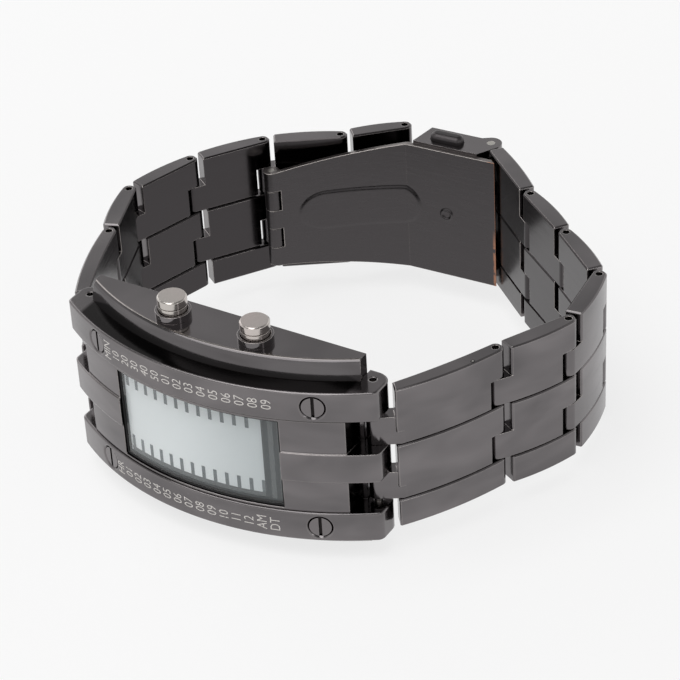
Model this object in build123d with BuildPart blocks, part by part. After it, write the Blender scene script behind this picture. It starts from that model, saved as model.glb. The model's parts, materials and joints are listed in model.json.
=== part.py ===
from build123d import *

import math
import os

# Sizes are in millimetres, +Z is up, and the watch stands on the lower side of its case
# with the clasp closed. X runs along the case and Y from the case towards the clasp.

# Bracelet columns
bracelet_width = 22.0
column_count = 5
column_height = bracelet_width / column_count
side_gap = 0.14

# Case block behind the display
block_half_length = 20.7
block_front_reach = 6.3
block_end_depth = 1.51
block_back = 1.0
block_ledge = 2.95
block_front_wall = 1.4
block_side_wall = 3.0
block_end_wall = 7.2
block_edge_chamfer = 0.35
foot_groove_height = 0.35
foot_groove_depth = 0.35

# Rails and display frame in front of the block
rail_depth = 3.45
rail_overhang = 0.85
rail_extra_height = 0.1
rail_edge_chamfer = 0.18
row_gap = 0.1
low_row_drop = 0.25
low_row_setback = 0.4
hug_gap = 0.05

# Lugs and the first links' fingers
finger_radius = 1.15
finger_gap = 0.27
lug_radius = 1.9
lug_front_round = 1.1

# Display
window_left = 13.1
window_right = 12.3
window_margin = 0.3
glass_recess = 0.6
glass_thickness = 0.8
glass_gasket_width = 0.35
mask_thickness = 0.15
mask_left_border = 0.7
mask_right_border = 2.9
mask_edge_border = 0.6
panel_gap = 0.08

# Inside the case
port_end_margin = 1.8
port_side_margin = 0.75
board_end_gap = 2.5
board_side_gap = 2.05
board_thickness = 0.8
board_clearance = 0.2
strip_height = 1.4
battery_margin = 1.75
battery_thickness = 1.6
clip_half_width = 1.6
clip_thickness = 0.3
clip_gap = 0.4

# Case back
back_end_margin = 1.3
back_side_margin = 1.2
back_thickness = 0.8
back_corner = 1.2
gasket_end_overlap = 1.7
gasket_side_overlap = 1.1
gasket_width = 0.7
gasket_depth = 0.6
back_screw_end_inset = 1.8
back_screw_side_inset = 2.1
back_screw_head_radius = 0.9
back_screw_head_height = 0.5
back_screw_shank_radius = 0.5
back_screw_reach = 1.7

# Rail screws
rail_screw_inset = 3.9
rail_screw_margin = 0.75
rail_screw_seat_depth = 1.3
rail_screw_sink = 0.12
rail_screw_shank_radius = 0.7
rail_screw_bite = 1.5
screw_slot_width = 0.45
screw_slot_depth = 0.4
countersink_flare = 0.35
countersink_depth = 0.3

# Fits
screw_clearance = 0.01
pocket_clearance = 0.08
pin_fit = 0.01
pin_running = 0.05
bore_running = 0.06
cut_overrun = 1.0

# Pushers on the upper side of the block
pusher_offset_share = 0.3092
pusher_setback = 3.08
collar_radius = 2.4
collar_height = 1.0
tube_radius = 1.9
cap_radius = 2.0
cap_height = 1.15
cap_rise = 1.9
cap_bevel = 0.16
cap_groove_radius = 1.75
cap_groove_height = 0.15
neck_radius = 1.93
neck_length = 0.95
counterbore_depth = 0.9
spring_bore_radius = 1.45
stem_radius = 0.62
stem_bore_length = 0.8
stem_reach = 1.1
seal_thickness = 0.25
seal_height = 0.3
clip_ring_radius = 1.1
clip_ring_height = 0.3
clip_ring_groove = 0.2
spring_wall = 0.3
spring_play = 0.12

# Links
clasp_span = 14.196
end_link_length = 17.56
link_pitch = 11.57
last_right_length = 15.49
last_left_length = 9.81
link_nose = 1.05
link_arch = 0.5
nose_gap = 0.62
end_nose_gap = 0.27
link_edge = 0.2
link_pin_radius = 0.5
pin_recess = 0.9
right_headings = (55.8, 62.3, 95.9, 139.4, 142.5, 139.3)
left_headings = (117.2, 110.7, 74.0, 55.7, 33.5, 43.0)

# End links beside the case
shoulder_outer_along = 1.83
shoulder_outer_out = 2.5
shoulder_inner_along = 2.42
shoulder_inner_out = 0.53
end_crown_radius = 56.0
end_sole_radius = 115.0
finger_join = 2.9
finger_inner_join = 3.6

# Clasp blades
fold_reach = 21.01
strip_slant = -0.3
fold_pin_radius = 0.5
barrel_radius = 1.2
barrel_gap = 0.1
barrel_slot_gap = 0.3
barrel_section_count = 5
blade_thickness = 0.8
blade_level = -4.6
blade_bend_along = 2.45
blade_bow = 1.0
blade_end_past_pin = 1.85
blade_end_bevel = 0.8
blade_side_inset = 0.4
blade_taper = 2.6
blade_link_gap = 0.2
knuckle_radius = 1.15
lip_reach = 3.4
lip_thickness = 0.7
lip_drop = 0.15
knuckle_neck = 0.8

# Clasp box and its two push buttons
box_left = 3.3
box_slant = 0.9
box_floor = 0.3
flange_thickness = 1.2
ear_radius = 1.6
ear_slant = 25
ear_gap = 0.3
cover_top = 0.8
cover_thickness = 0.8
cover_setback = 1.8
flange_foot_setback = 0.6
pin_end_radius = 0.6
button_length = 5.2
button_low_margin = 0.9
button_high_margin = 1.5
button_proud = 1.1
button_dome = 0.8
button_collar_reach = 0.7
button_collar_depth = 1.0
button_collar_gap = 0.06
hook_width = 1.2
hook_half_height = 0.85
hook_inset = 0.1
hook_thickness = 0.9
hook_lip_gap = 0.1
hook_tip = 1.75
rib_half_thickness = 0.5
rib_half_length = 1.5
button_spring_radius = 1.0

# Heights
rail_height = column_height + rail_extra_height
rail_span = bracelet_width + 2 * rail_overhang
block_height = rail_span + 2 * block_ledge
mid_height = block_height / 2
bracelet_top = mid_height + bracelet_width / 2
bracelet_bottom = mid_height - bracelet_width / 2
rail_top = mid_height + rail_span / 2
rail_bottom = mid_height - rail_span / 2
screw_rise = rail_span / 2 - rail_height / 2
rail_screw_head_radius = rail_height / 2 - rail_screw_margin
countersink_radius = rail_screw_head_radius + countersink_flare
window_height = rail_span - 2 * (rail_height + row_gap + window_margin)
port_half_height = window_height / 2 - port_side_margin
cavity_half_height = mid_height - block_side_wall
board_half_height = cavity_half_height - board_side_gap
battery_radius = board_half_height - battery_margin
gasket_half_height = cavity_half_height + gasket_side_overlap
back_half_height = mid_height - back_side_margin
back_screw_rise = back_half_height - back_screw_side_inset
blade_half_width = bracelet_width / 2 - blade_side_inset
blade_narrow_half_width = blade_half_width - blade_taper
outer_blade_half_width = (column_count / 2 - 1) * column_height - side_gap

# Lengths along the case
lug_pin_offset = block_half_length + finger_gap + finger_radius
lug_end = lug_pin_offset + lug_radius
low_row_end = block_half_length - low_row_setback
cavity_half_length = block_half_length - block_end_wall
port_half_length = window_right - port_end_margin
board_half_length = cavity_half_length - board_end_gap
gasket_half_length = cavity_half_length + gasket_end_overlap
back_half_length = block_half_length - back_end_margin
back_screw_offset = back_half_length - back_screw_end_inset
rail_screw_offset = block_half_length - rail_screw_inset
pusher_offset = pusher_offset_share * block_half_length

# Arcs of the front, all about one centre: the block's arc passes its middle and its two ends
block_rise = block_front_reach + block_back - block_end_depth
block_arc_radius = (block_half_length**2 + block_rise**2) / (2 * block_rise)
arc_centre_depth = block_arc_radius - block_front_reach
frame_arc_radius = block_arc_radius + rail_depth
cavity_arc_radius = block_arc_radius - block_front_wall


def bow(radius, across):
    """Y of an arc about the case's arc centre, at a distance across from the middle."""
    return arc_centre_depth - math.sqrt(radius**2 - across**2)


def spot(near, far, side, along, outward):
    """Plan point measured along the line from one pin to the next and outward from it."""
    span = math.dist(near, far)
    ux = (far[0] - near[0]) / span
    uy = (far[1] - near[1]) / span
    return (
        near[0] + along * ux - side * outward * uy,
        near[1] + along * uy + side * outward * ux,
    )


def chain(start, headings, lengths):
    """Pin places of one half of the bracelet, from its lug to the clasp."""
    points = [start]
    for heading, length in zip(headings, lengths):
        turn = math.radians(heading)
        x, y = points[-1]
        points.append((x + length * math.cos(turn), y + length * math.sin(turn)))
    return points


def prism(face, bottom, top, mode=Mode.ADD):
    """Raise a plan outline from one height to another."""
    extrude(face.moved(Location((0, 0, bottom))), amount=top - bottom, dir=(0, 0, 1), mode=mode)


def rod(plane, radius, low, high, mode=Mode.ADD):
    """Round bar along a plane's normal between two distances from it."""
    with BuildSketch(plane.offset(low), mode=Mode.PRIVATE) as disc:
        Circle(radius)
    extrude(disc.sketch, amount=high - low, mode=mode)


def post(place, radius, bottom, top, mode=Mode.ADD):
    """Upright round bar at a plan point."""
    rod(Plane(origin=(place[0], place[1], 0), z_dir=(0, 0, 1)), radius, bottom, top, mode)


def outline(points):
    """Straight sided plan outline."""
    with BuildSketch(mode=Mode.PRIVATE) as shape:
        with BuildLine():
            Polyline(*points, close=True)
        make_face()
    return shape.sketch


def band_face(outer, inner, left, right):
    """Plan strip between two arcs about the case's arc centre."""
    with BuildSketch(mode=Mode.PRIVATE) as band:
        with BuildLine():
            ThreePointArc((-left, bow(outer, left)), (0, bow(outer, 0)), (right, bow(outer, right)))
            Line((right, bow(outer, right)), (right, bow(inner, right)))
            ThreePointArc((right, bow(inner, right)), (0, bow(inner, 0)), (-left, bow(inner, left)))
            Line((-left, bow(inner, left)), (-left, bow(outer, left)))
        make_face()
    return band.sketch


def block_face(radius, half_length, back):
    """Plan outline with a bowed front and a straight back."""
    with BuildSketch(mode=Mode.PRIVATE) as shape:
        with BuildLine():
            ThreePointArc(
                (-half_length, bow(radius, half_length)),
                (0, bow(radius, 0)),
                (half_length, bow(radius, half_length)),
            )
            Polyline(
                (half_length, bow(radius, half_length)),
                (half_length, back),
                (-half_length, back),
                (-half_length, bow(radius, half_length)),
            )
        make_face()
    return shape.sketch


def rail_face():
    """Plan outline of a rail with a round lug behind each end, hugging the block."""
    hug = block_half_length + hug_gap
    diagonal = lug_radius * math.sqrt(0.5)
    front = bow(frame_arc_radius, lug_end)
    corner = bow(block_arc_radius, hug)
    with BuildSketch(mode=Mode.PRIVATE) as shape:
        with BuildLine():
            ThreePointArc((-lug_end, front), (0, bow(frame_arc_radius, 0)), (lug_end, front))
            Line((lug_end, front), (lug_end, 0))
            ThreePointArc(
                (lug_end, 0),
                (lug_pin_offset + diagonal, diagonal),
                (lug_pin_offset, lug_radius),
            )
            Polyline((lug_pin_offset, lug_radius), (hug, lug_radius), (hug, corner))
            ThreePointArc((hug, corner), (0, bow(block_arc_radius, 0)), (-hug, corner))
            Polyline((-hug, corner), (-hug, lug_radius), (-lug_pin_offset, lug_radius))
            ThreePointArc(
                (-lug_pin_offset, lug_radius),
                (-lug_pin_offset - diagonal, diagonal),
                (-lug_end, 0),
            )
            Line((-lug_end, 0), (-lug_end, front))
        make_face()
    return shape.sketch


def slab(half_length, half_height, corner, front, back, mode=Mode.ADD):
    """Upright plate centred on the case, between two distances towards the wrist."""
    plane = Plane(origin=(0, front, mid_height), x_dir=(1, 0, 0), z_dir=(0, 1, 0))
    with BuildSketch(plane, mode=Mode.PRIVATE) as plate:
        if corner > 0:
            RectangleRounded(2 * half_length, 2 * half_height, corner)
        else:
            Rectangle(2 * half_length, 2 * half_height)
    extrude(plate.sketch, amount=back - front, mode=mode)


def screw_plane(across, height):
    """Plane through the arc centre whose normal points out through a rail screw."""
    turn = math.asin(across / frame_arc_radius)
    direction = (math.sin(turn), -math.cos(turn), 0)
    return Plane(origin=(0, arc_centre_depth, height), x_dir=(0, 0, 1), z_dir=direction)


def back_screw_plane(across, height):
    """Plane on the case back whose normal points to the wrist."""
    return Plane(origin=(across, block_back, height), x_dir=(1, 0, 0), z_dir=(0, 1, 0))


def export(part, name):
    """Name a finished node and write its file."""
    part.label = name
    export_step(part, "parts/" + name + ".step")


def four_places(offset, rise):
    """The four corner places of a pattern about the middle of the case."""
    return [(x, mid_height + z) for x in (-offset, offset) for z in (-rise, rise)]


rail_screw_places = four_places(rail_screw_offset, screw_rise)
back_screw_places = four_places(back_screw_offset, back_screw_rise)
lug_pins = [(-lug_pin_offset, 0), (lug_pin_offset, 0)]
board_front = bow(cavity_arc_radius, board_half_length) + board_clearance
pusher_depth = bow(block_arc_radius, pusher_offset) + pusher_setback
pusher_places = [(-pusher_offset, pusher_depth), (pusher_offset, pusher_depth)]
right_lengths = [end_link_length] + [link_pitch] * 4 + [last_right_length]
left_lengths = [end_link_length] + [link_pitch] * 4 + [last_left_length]


def halves(swing):
    """Pin places of both halves, each turned outwards about its lug pin by some degrees."""
    right = chain(lug_pins[1], [heading - swing for heading in right_headings], right_lengths)
    left = chain(lug_pins[0], [heading + swing for heading in left_headings], left_lengths)
    return right, left


def closing_swing():
    """Degrees by which the halves turn so that their ends are the clasp's span apart."""
    swing = 0.0
    for _ in range(len(right_lengths) * len(left_lengths)):
        right, left = halves(swing)
        arm = right[-1][1] + left[-1][1]
        swing += math.degrees((clasp_span - math.dist(right[-1], left[-1])) / arm)
    return swing


right_pins, left_pins = halves(closing_swing())
box_pin = right_pins[-1]
blade_pin = left_pins[-1]
box_span = math.dist(blade_pin, box_pin)

os.makedirs("parts", exist_ok=True)

# Case block
with BuildPart() as case_middle:
    prism(block_face(block_arc_radius, block_half_length, block_back), 0, block_height)
    rims = case_middle.faces().sort_by(Axis.Z)
    chamfer([rims[0].edges().filter_by(GeomType.CIRCLE), rims[-1].edges().filter_by(GeomType.CIRCLE)],
            block_edge_chamfer)
    groove = band_face(
        block_arc_radius + cut_overrun,
        block_arc_radius - foot_groove_depth,
        block_half_length + cut_overrun,
        block_half_length + cut_overrun,
    )
    prism(groove, rail_top, rail_top + foot_groove_height, Mode.SUBTRACT)
    prism(groove, rail_bottom - foot_groove_height, rail_bottom, Mode.SUBTRACT)
    prism(
        block_face(cavity_arc_radius, cavity_half_length, block_back + cut_overrun),
        block_side_wall,
        block_height - block_side_wall,
        Mode.SUBTRACT,
    )
    slab(port_half_length, port_half_height, 0, bow(frame_arc_radius, 0), board_front, Mode.SUBTRACT)
    slab(gasket_half_length, gasket_half_height, 0, block_back - gasket_depth,
         block_back + cut_overrun, Mode.SUBTRACT)
    for across, height in rail_screw_places:
        rod(screw_plane(across, height), rail_screw_shank_radius + screw_clearance,
            block_arc_radius - rail_screw_bite, frame_arc_radius, Mode.SUBTRACT)
    for across, height in back_screw_places:
        rod(back_screw_plane(across, height), back_screw_shank_radius + screw_clearance,
            -back_screw_reach, cut_overrun, Mode.SUBTRACT)
    for place in pusher_places:
        post(place, tube_radius, block_height - block_side_wall - cut_overrun,
             block_height + cut_overrun, Mode.SUBTRACT)
    slab(gasket_half_length - gasket_width, gasket_half_height - gasket_width, 0,
         block_back - gasket_depth, block_back)
    slab(cavity_half_length, cavity_half_height, 0, block_back - gasket_depth, block_back, Mode.SUBTRACT)
export(case_middle.part, "case_middle")

# Gasket between the block and the case back
with BuildPart() as back_gasket:
    slab(gasket_half_length, gasket_half_height, 0, block_back - gasket_depth, block_back)
    slab(gasket_half_length - gasket_width, gasket_half_height - gasket_width, 0,
         block_back - gasket_depth - cut_overrun, block_back + cut_overrun, Mode.SUBTRACT)
export(back_gasket.part, "back_gasket")

# Case back and its four screws
with BuildPart() as case_back:
    slab(back_half_length, back_half_height, back_corner, block_back, block_back + back_thickness)
    for across, height in back_screw_places:
        plane = back_screw_plane(across, height)
        rod(plane, back_screw_shank_radius + pocket_clearance, -cut_overrun, cut_overrun, Mode.SUBTRACT)
        rod(plane, back_screw_head_radius + pocket_clearance, back_thickness - back_screw_head_height,
            back_thickness + cut_overrun, Mode.SUBTRACT)
export(case_back.part, "case_back")

with BuildPart() as back_screws:
    for across, height in back_screw_places:
        plane = back_screw_plane(across, height)
        head_bottom = back_thickness - back_screw_head_height
        rod(plane, back_screw_shank_radius, -back_screw_reach, head_bottom)
        rod(plane, back_screw_head_radius, head_bottom, back_thickness)
        with BuildSketch(plane.offset(back_thickness - screw_slot_depth / 2), mode=Mode.PRIVATE) as slot:
            Rectangle(2 * back_screw_head_radius + cut_overrun, screw_slot_width)
        extrude(slot.sketch, amount=screw_slot_depth, mode=Mode.SUBTRACT)
export(back_screws.part, "back_screws")


def round_lug_fronts(row):
    """Round the two upright front edges of a row that runs out to lugs."""
    front = bow(frame_arc_radius, lug_end)
    uprights = row.edges().filter_by(Axis.Z)
    uprights = uprights.filter_by(lambda edge: abs(edge.center().X) > lug_pin_offset)
    fillet(uprights.filter_by(lambda edge: edge.center().Y < front / 2), lug_front_round)


def rail(bottom):
    """Row beside the display with two lugs, two countersunk screw holes and two pin holes."""
    top = bottom + rail_height
    prism(rail_face(), bottom, top)
    for across, height in rail_screw_places:
        if bottom < height < top:
            plane = screw_plane(across, height)
            rod(plane, rail_screw_shank_radius + pocket_clearance, block_arc_radius - cut_overrun,
                frame_arc_radius + cut_overrun, Mode.SUBTRACT)
            rod(plane, rail_screw_head_radius + pocket_clearance,
                frame_arc_radius - rail_screw_seat_depth, frame_arc_radius + cut_overrun, Mode.SUBTRACT)
            with Locations(plane.offset(frame_arc_radius - countersink_depth).location):
                Cone(rail_screw_head_radius + pocket_clearance, countersink_radius, countersink_depth,
                     align=(Align.CENTER, Align.CENTER, Align.MIN), mode=Mode.SUBTRACT)
    for place in lug_pins:
        post(place, link_pin_radius + pin_fit, bottom - cut_overrun, top + cut_overrun, Mode.SUBTRACT)


# Upper and lower rail
for name, bottom in (("lower_rail", rail_bottom), ("upper_rail", rail_top - rail_height)):
    with BuildPart() as side_rail:
        rail(bottom)
        round_lug_fronts(side_rail)
        edges = side_rail.edges().filter_by(GeomType.CIRCLE)
        edges = edges.filter_by(lambda edge: abs(edge.radius - frame_arc_radius) < hug_gap)
        chamfer(edges.filter_by(lambda edge: edge.length > lug_end), rail_edge_chamfer)
    export(side_rail.part, name)

# Rail screws with their slots along the case's height
with BuildPart() as rail_screws:
    for across, height in rail_screw_places:
        plane = screw_plane(across, height)
        seat = frame_arc_radius - rail_screw_seat_depth
        crown = frame_arc_radius - rail_screw_sink
        rod(plane, rail_screw_shank_radius, block_arc_radius - rail_screw_bite, seat)
        rod(plane, rail_screw_head_radius, seat, crown)
        with BuildSketch(plane.offset(crown - screw_slot_depth), mode=Mode.PRIVATE) as slot:
            Rectangle(2 * rail_screw_head_radius + cut_overrun, screw_slot_width)
        extrude(slot.sketch, amount=screw_slot_depth + cut_overrun, mode=Mode.SUBTRACT)
export(rail_screws.part, "rail_screws")

# Display frame: two low rows and a middle row that runs out to lugs
frame_bottom = rail_bottom + rail_height + row_gap
frame_top = rail_top - rail_height - row_gap
low_row_radius = frame_arc_radius - low_row_drop
window_bottom = mid_height - window_height / 2
window_top = mid_height + window_height / 2
middle_bottom = mid_height - column_height / 2
middle_top = mid_height + column_height / 2
with BuildPart() as display_frame:
    prism(band_face(low_row_radius, block_arc_radius, low_row_end, low_row_end), frame_bottom, frame_top)
    prism(rail_face(), middle_bottom, middle_top)
    round_lug_fronts(display_frame)
    window = band_face(
        frame_arc_radius + cut_overrun, block_arc_radius - cut_overrun, window_left, window_right
    )
    prism(window, window_bottom, window_top, Mode.SUBTRACT)
    for place in lug_pins:
        post(place, link_pin_radius + pin_fit, middle_bottom - cut_overrun,
             middle_top + cut_overrun, Mode.SUBTRACT)
export(display_frame.part, "display_frame")

# Glass with its gasket, the dark mask and the display panel
glass_outer = frame_arc_radius - glass_recess
glass_inner = glass_outer - glass_thickness
panel_outer = glass_inner - mask_thickness
with BuildPart() as display_glass:
    prism(
        band_face(glass_outer, glass_inner, window_left - glass_gasket_width,
                  window_right - glass_gasket_width),
        window_bottom + glass_gasket_width,
        window_top - glass_gasket_width,
    )
export(display_glass.part, "display_glass")

with BuildPart() as glass_gasket:
    prism(band_face(glass_outer, glass_inner, window_left, window_right), window_bottom, window_top)
    prism(
        band_face(glass_outer + cut_overrun, glass_inner - cut_overrun,
                  window_left - glass_gasket_width, window_right - glass_gasket_width),
        window_bottom + glass_gasket_width,
        window_top - glass_gasket_width,
        Mode.SUBTRACT,
    )
export(glass_gasket.part, "glass_gasket")

with BuildPart() as display_mask:
    prism(band_face(glass_inner, panel_outer, window_left, window_right), window_bottom, window_top)
    prism(
        band_face(glass_inner + cut_overrun, panel_outer - cut_overrun,
                  window_left - mask_left_border, window_right - mask_right_border),
        window_bottom + mask_edge_border,
        window_top - mask_edge_border,
        Mode.SUBTRACT,
    )
export(display_mask.part, "display_mask")

with BuildPart() as lcd_panel:
    prism(
        band_face(panel_outer, block_arc_radius, window_left - panel_gap, window_right - panel_gap),
        window_bottom + panel_gap,
        window_top - panel_gap,
    )
export(lcd_panel.part, "lcd_panel")

# Two rubber strips that join the panel to the board
strip_top = mid_height + port_half_height - panel_gap
with BuildPart() as connector_strips:
    for top in (strip_top, 2 * mid_height - strip_top + strip_height):
        with BuildSketch(mode=Mode.PRIVATE) as shape:
            half = port_half_length - panel_gap
            with BuildLine():
                ThreePointArc(
                    (-half, bow(block_arc_radius, half)),
                    (0, bow(block_arc_radius, 0)),
                    (half, bow(block_arc_radius, half)),
                )
                Polyline(
                    (half, bow(block_arc_radius, half)),
                    (half, board_front),
                    (-half, board_front),
                    (-half, bow(block_arc_radius, half)),
                )
            make_face()
        prism(shape.sketch, top - strip_height, top)
export(connector_strips.part, "connector_strips")

# Board, coin cell and the clip over it
board_back = board_front + board_thickness
cell_back = board_back + battery_thickness
with BuildPart() as circuit_board:
    slab(board_half_length, board_half_height, 0, board_front, board_back)
export(circuit_board.part, "circuit_board")

with BuildPart() as battery:
    rod(Plane(origin=(0, board_back, mid_height), z_dir=(0, 1, 0)), battery_radius, 0, battery_thickness)
export(battery.part, "battery")

with BuildPart() as battery_clip:
    clip_reach = battery_radius + clip_gap
    slab(clip_half_width, clip_reach + clip_thickness, 0, board_back, cell_back + clip_thickness)
    slab(clip_half_width + cut_overrun, clip_reach, 0, board_back - cut_overrun, cell_back, Mode.SUBTRACT)
export(battery_clip.part, "battery_clip")

# Lug pins
with BuildPart() as case_pins:
    for place in lug_pins:
        post(place, link_pin_radius, rail_bottom + pin_recess, rail_top - pin_recess)
export(case_pins.part, "case_pins")

# Pusher tubes, one pressed in over each stem
tube_end = block_height - block_side_wall
bore_floor = tube_end + stem_bore_length
cap_bottom = block_height + cap_rise
cap_top = cap_bottom + cap_height
neck_bottom = cap_bottom - neck_length
collar_top = block_height + collar_height
counterbore_floor = collar_top - counterbore_depth
stem_end = tube_end - stem_reach
with BuildPart() as pusher_tubes:
    for place in pusher_places:
        post(place, tube_radius, tube_end, block_height)
        post(place, collar_radius, block_height, collar_top)
        post(place, cap_radius + bore_running, counterbore_floor, collar_top + cut_overrun, Mode.SUBTRACT)
        post(place, spring_bore_radius, bore_floor, collar_top, Mode.SUBTRACT)
        post(place, stem_radius + seal_thickness / 2 + bore_running, tube_end - cut_overrun, collar_top,
             Mode.SUBTRACT)
export(pusher_tubes.part, "pusher_tubes")

seal_bottom = tube_end + (stem_bore_length - seal_height) / 2
seal_top = seal_bottom + seal_height
clip_bottom = tube_end - clip_ring_height - spring_play
clip_top = clip_bottom + clip_ring_height
for side, place in zip(("left", "right"), pusher_places):
    with BuildPart() as pusher:
        post(place, cap_radius, cap_bottom, cap_top)
        chamfer(pusher.faces().sort_by(Axis.Z)[-1].edges(), cap_bevel)
        post(place, cap_groove_radius, cap_bottom - cap_groove_height, cap_bottom)
        post(place, neck_radius, neck_bottom, cap_bottom - cap_groove_height)
        post(place, stem_radius, stem_end, neck_bottom)
        post(place, stem_radius + cut_overrun, seal_bottom, seal_top, Mode.SUBTRACT)
        post(place, stem_radius - seal_thickness / 2, seal_bottom, seal_top)
        post(place, stem_radius + cut_overrun, clip_bottom, clip_top, Mode.SUBTRACT)
        post(place, stem_radius - clip_ring_groove, clip_bottom, clip_top)
    export(pusher.part, "pusher_" + side)
    with BuildPart() as seal:
        post(place, stem_radius + seal_thickness / 2, seal_bottom, seal_top)
        post(place, stem_radius - seal_thickness / 2, seal_bottom - cut_overrun,
             seal_top + cut_overrun, Mode.SUBTRACT)
    export(seal.part, "pusher_seal_" + side)
    with BuildPart() as clip:
        post(place, clip_ring_radius, clip_bottom, clip_top)
        post(place, stem_radius - clip_ring_groove, clip_bottom - cut_overrun, clip_top + cut_overrun,
             Mode.SUBTRACT)
    export(clip.part, "pusher_clip_" + side)
    with BuildPart() as spring:
        post(place, stem_radius + spring_play + spring_wall, bore_floor, neck_bottom)
        post(place, stem_radius + spring_play, bore_floor - cut_overrun, neck_bottom + cut_overrun,
             Mode.SUBTRACT)
    export(spring.part, "pusher_spring_" + side)


# Bracelet links
link_cut = link_nose + nose_gap
end_link_cut = link_nose + end_nose_gap


def meeting(first, first_radius, second, second_radius):
    """Lower meeting point of two circles in a link's own directions."""
    span = math.dist(first, second)
    along = (span**2 + first_radius**2 - second_radius**2) / (2 * span)
    aside = math.sqrt(first_radius**2 - along**2)
    ux = (second[0] - first[0]) / span
    uy = (second[1] - first[1]) / span
    return (first[0] + along * ux + aside * uy, first[1] + along * uy - aside * ux)


def on_circle(centre, radius, along):
    """Height of a circle's upper half at one place."""
    return centre[1] + math.sqrt(radius**2 - (along - centre[0]) ** 2)


def leaving(centre, pin, distance):
    """Point at a distance from a pin, straight away from an arc's centre."""
    span = math.dist(centre, pin)
    return (
        pin[0] + (pin[0] - centre[0]) * distance / span,
        pin[1] + (pin[1] - centre[1]) * distance / span,
    )


def plan_outline(near, far, side, pieces):
    """Closed plan outline from pieces of two or three points in a link's own directions."""
    with BuildSketch(mode=Mode.PRIVATE) as bar:
        with BuildLine():
            for piece in pieces:
                points = [spot(near, far, side, *point) for point in piece]
                if len(points) == 3:
                    ThreePointArc(*points)
                else:
                    Line(*points)
        make_face()
    return bar.sketch


def crown_arc(length, is_end_link):
    """Centre and radius of a link's outside in its own directions, tangent to its noses."""
    if is_end_link:
        shoulder = (shoulder_outer_along, shoulder_outer_out)
        pin_radius = end_crown_radius - link_nose
        return meeting(shoulder, end_crown_radius, (length, 0), pin_radius), end_crown_radius
    height = link_nose + link_arch
    radius = (length**2 / 4 + height**2 - link_nose**2) / (2 * link_arch)
    return (length / 2, height - radius), radius


def bar_face(near, far, side, near_cut, far_cut):
    """Plan outline of a link bar, with a round nose or a straight cut at each end."""
    length = math.dist(near, far)
    centre, radius = crown_arc(length, False)
    end = length - far_cut
    near_top = leaving(centre, (0, 0), link_nose)
    far_top = leaving(centre, (length, 0), link_nose)
    pieces = []
    if near_cut:
        near_top = (near_cut, on_circle(centre, radius, near_cut))
        pieces.append(((near_cut, -link_nose), near_top))
    else:
        pieces.append(((0, -link_nose), (-link_nose, 0), near_top))
    if far_cut:
        far_top = (end, on_circle(centre, radius, end))
    pieces.append((near_top, (length / 2, centre[1] + radius), far_top))
    if far_cut:
        pieces.append((far_top, (end, -link_nose)))
    else:
        pieces.append((far_top, (length + link_nose, 0), (length, -link_nose)))
    pieces.append(((end, -link_nose), (near_cut, -link_nose)))
    return plan_outline(near, far, side, pieces)


def end_bar_face(near, far, side, finger, far_cut):
    """Plan outline of an end link bar, with a shoulder or a finger beside the case."""
    length = math.dist(near, far)
    crown, radius = crown_arc(length, True)
    start_top = (shoulder_outer_along, shoulder_outer_out)
    start_foot = (shoulder_inner_along, shoulder_inner_out)
    pin = (length, 0)
    sole = meeting(start_foot, end_sole_radius, pin, end_sole_radius + link_nose)
    end = length - far_cut
    if finger:
        start_top = (finger_join, on_circle(crown, radius, finger_join))
        start_foot = (finger_inner_join, on_circle(sole, end_sole_radius, finger_inner_join))
    if far_cut:
        far_top = (end, on_circle(crown, radius, end))
        far_foot = (end, on_circle(sole, end_sole_radius, end))
    else:
        far_top = leaving(crown, pin, link_nose)
        far_foot = leaving(sole, pin, -link_nose)
    middle = (start_top[0] + far_top[0]) / 2
    under = (start_foot[0] + far_foot[0]) / 2
    pieces = []
    if finger:
        pieces.append((start_foot, (0, -finger_radius)))
        pieces.append(((0, -finger_radius), (-finger_radius, 0), (0, finger_radius)))
        pieces.append(((0, finger_radius), start_top))
    else:
        pieces.append((start_foot, start_top))
    pieces.append((start_top, (middle, on_circle(crown, radius, middle)), far_top))
    if far_cut:
        pieces.append((far_top, far_foot))
    else:
        pieces.append((far_top, (length + link_nose, 0), far_foot))
    pieces.append((far_foot, (under, on_circle(sole, end_sole_radius, under)), start_foot))
    return plan_outline(near, far, side, pieces)


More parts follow.
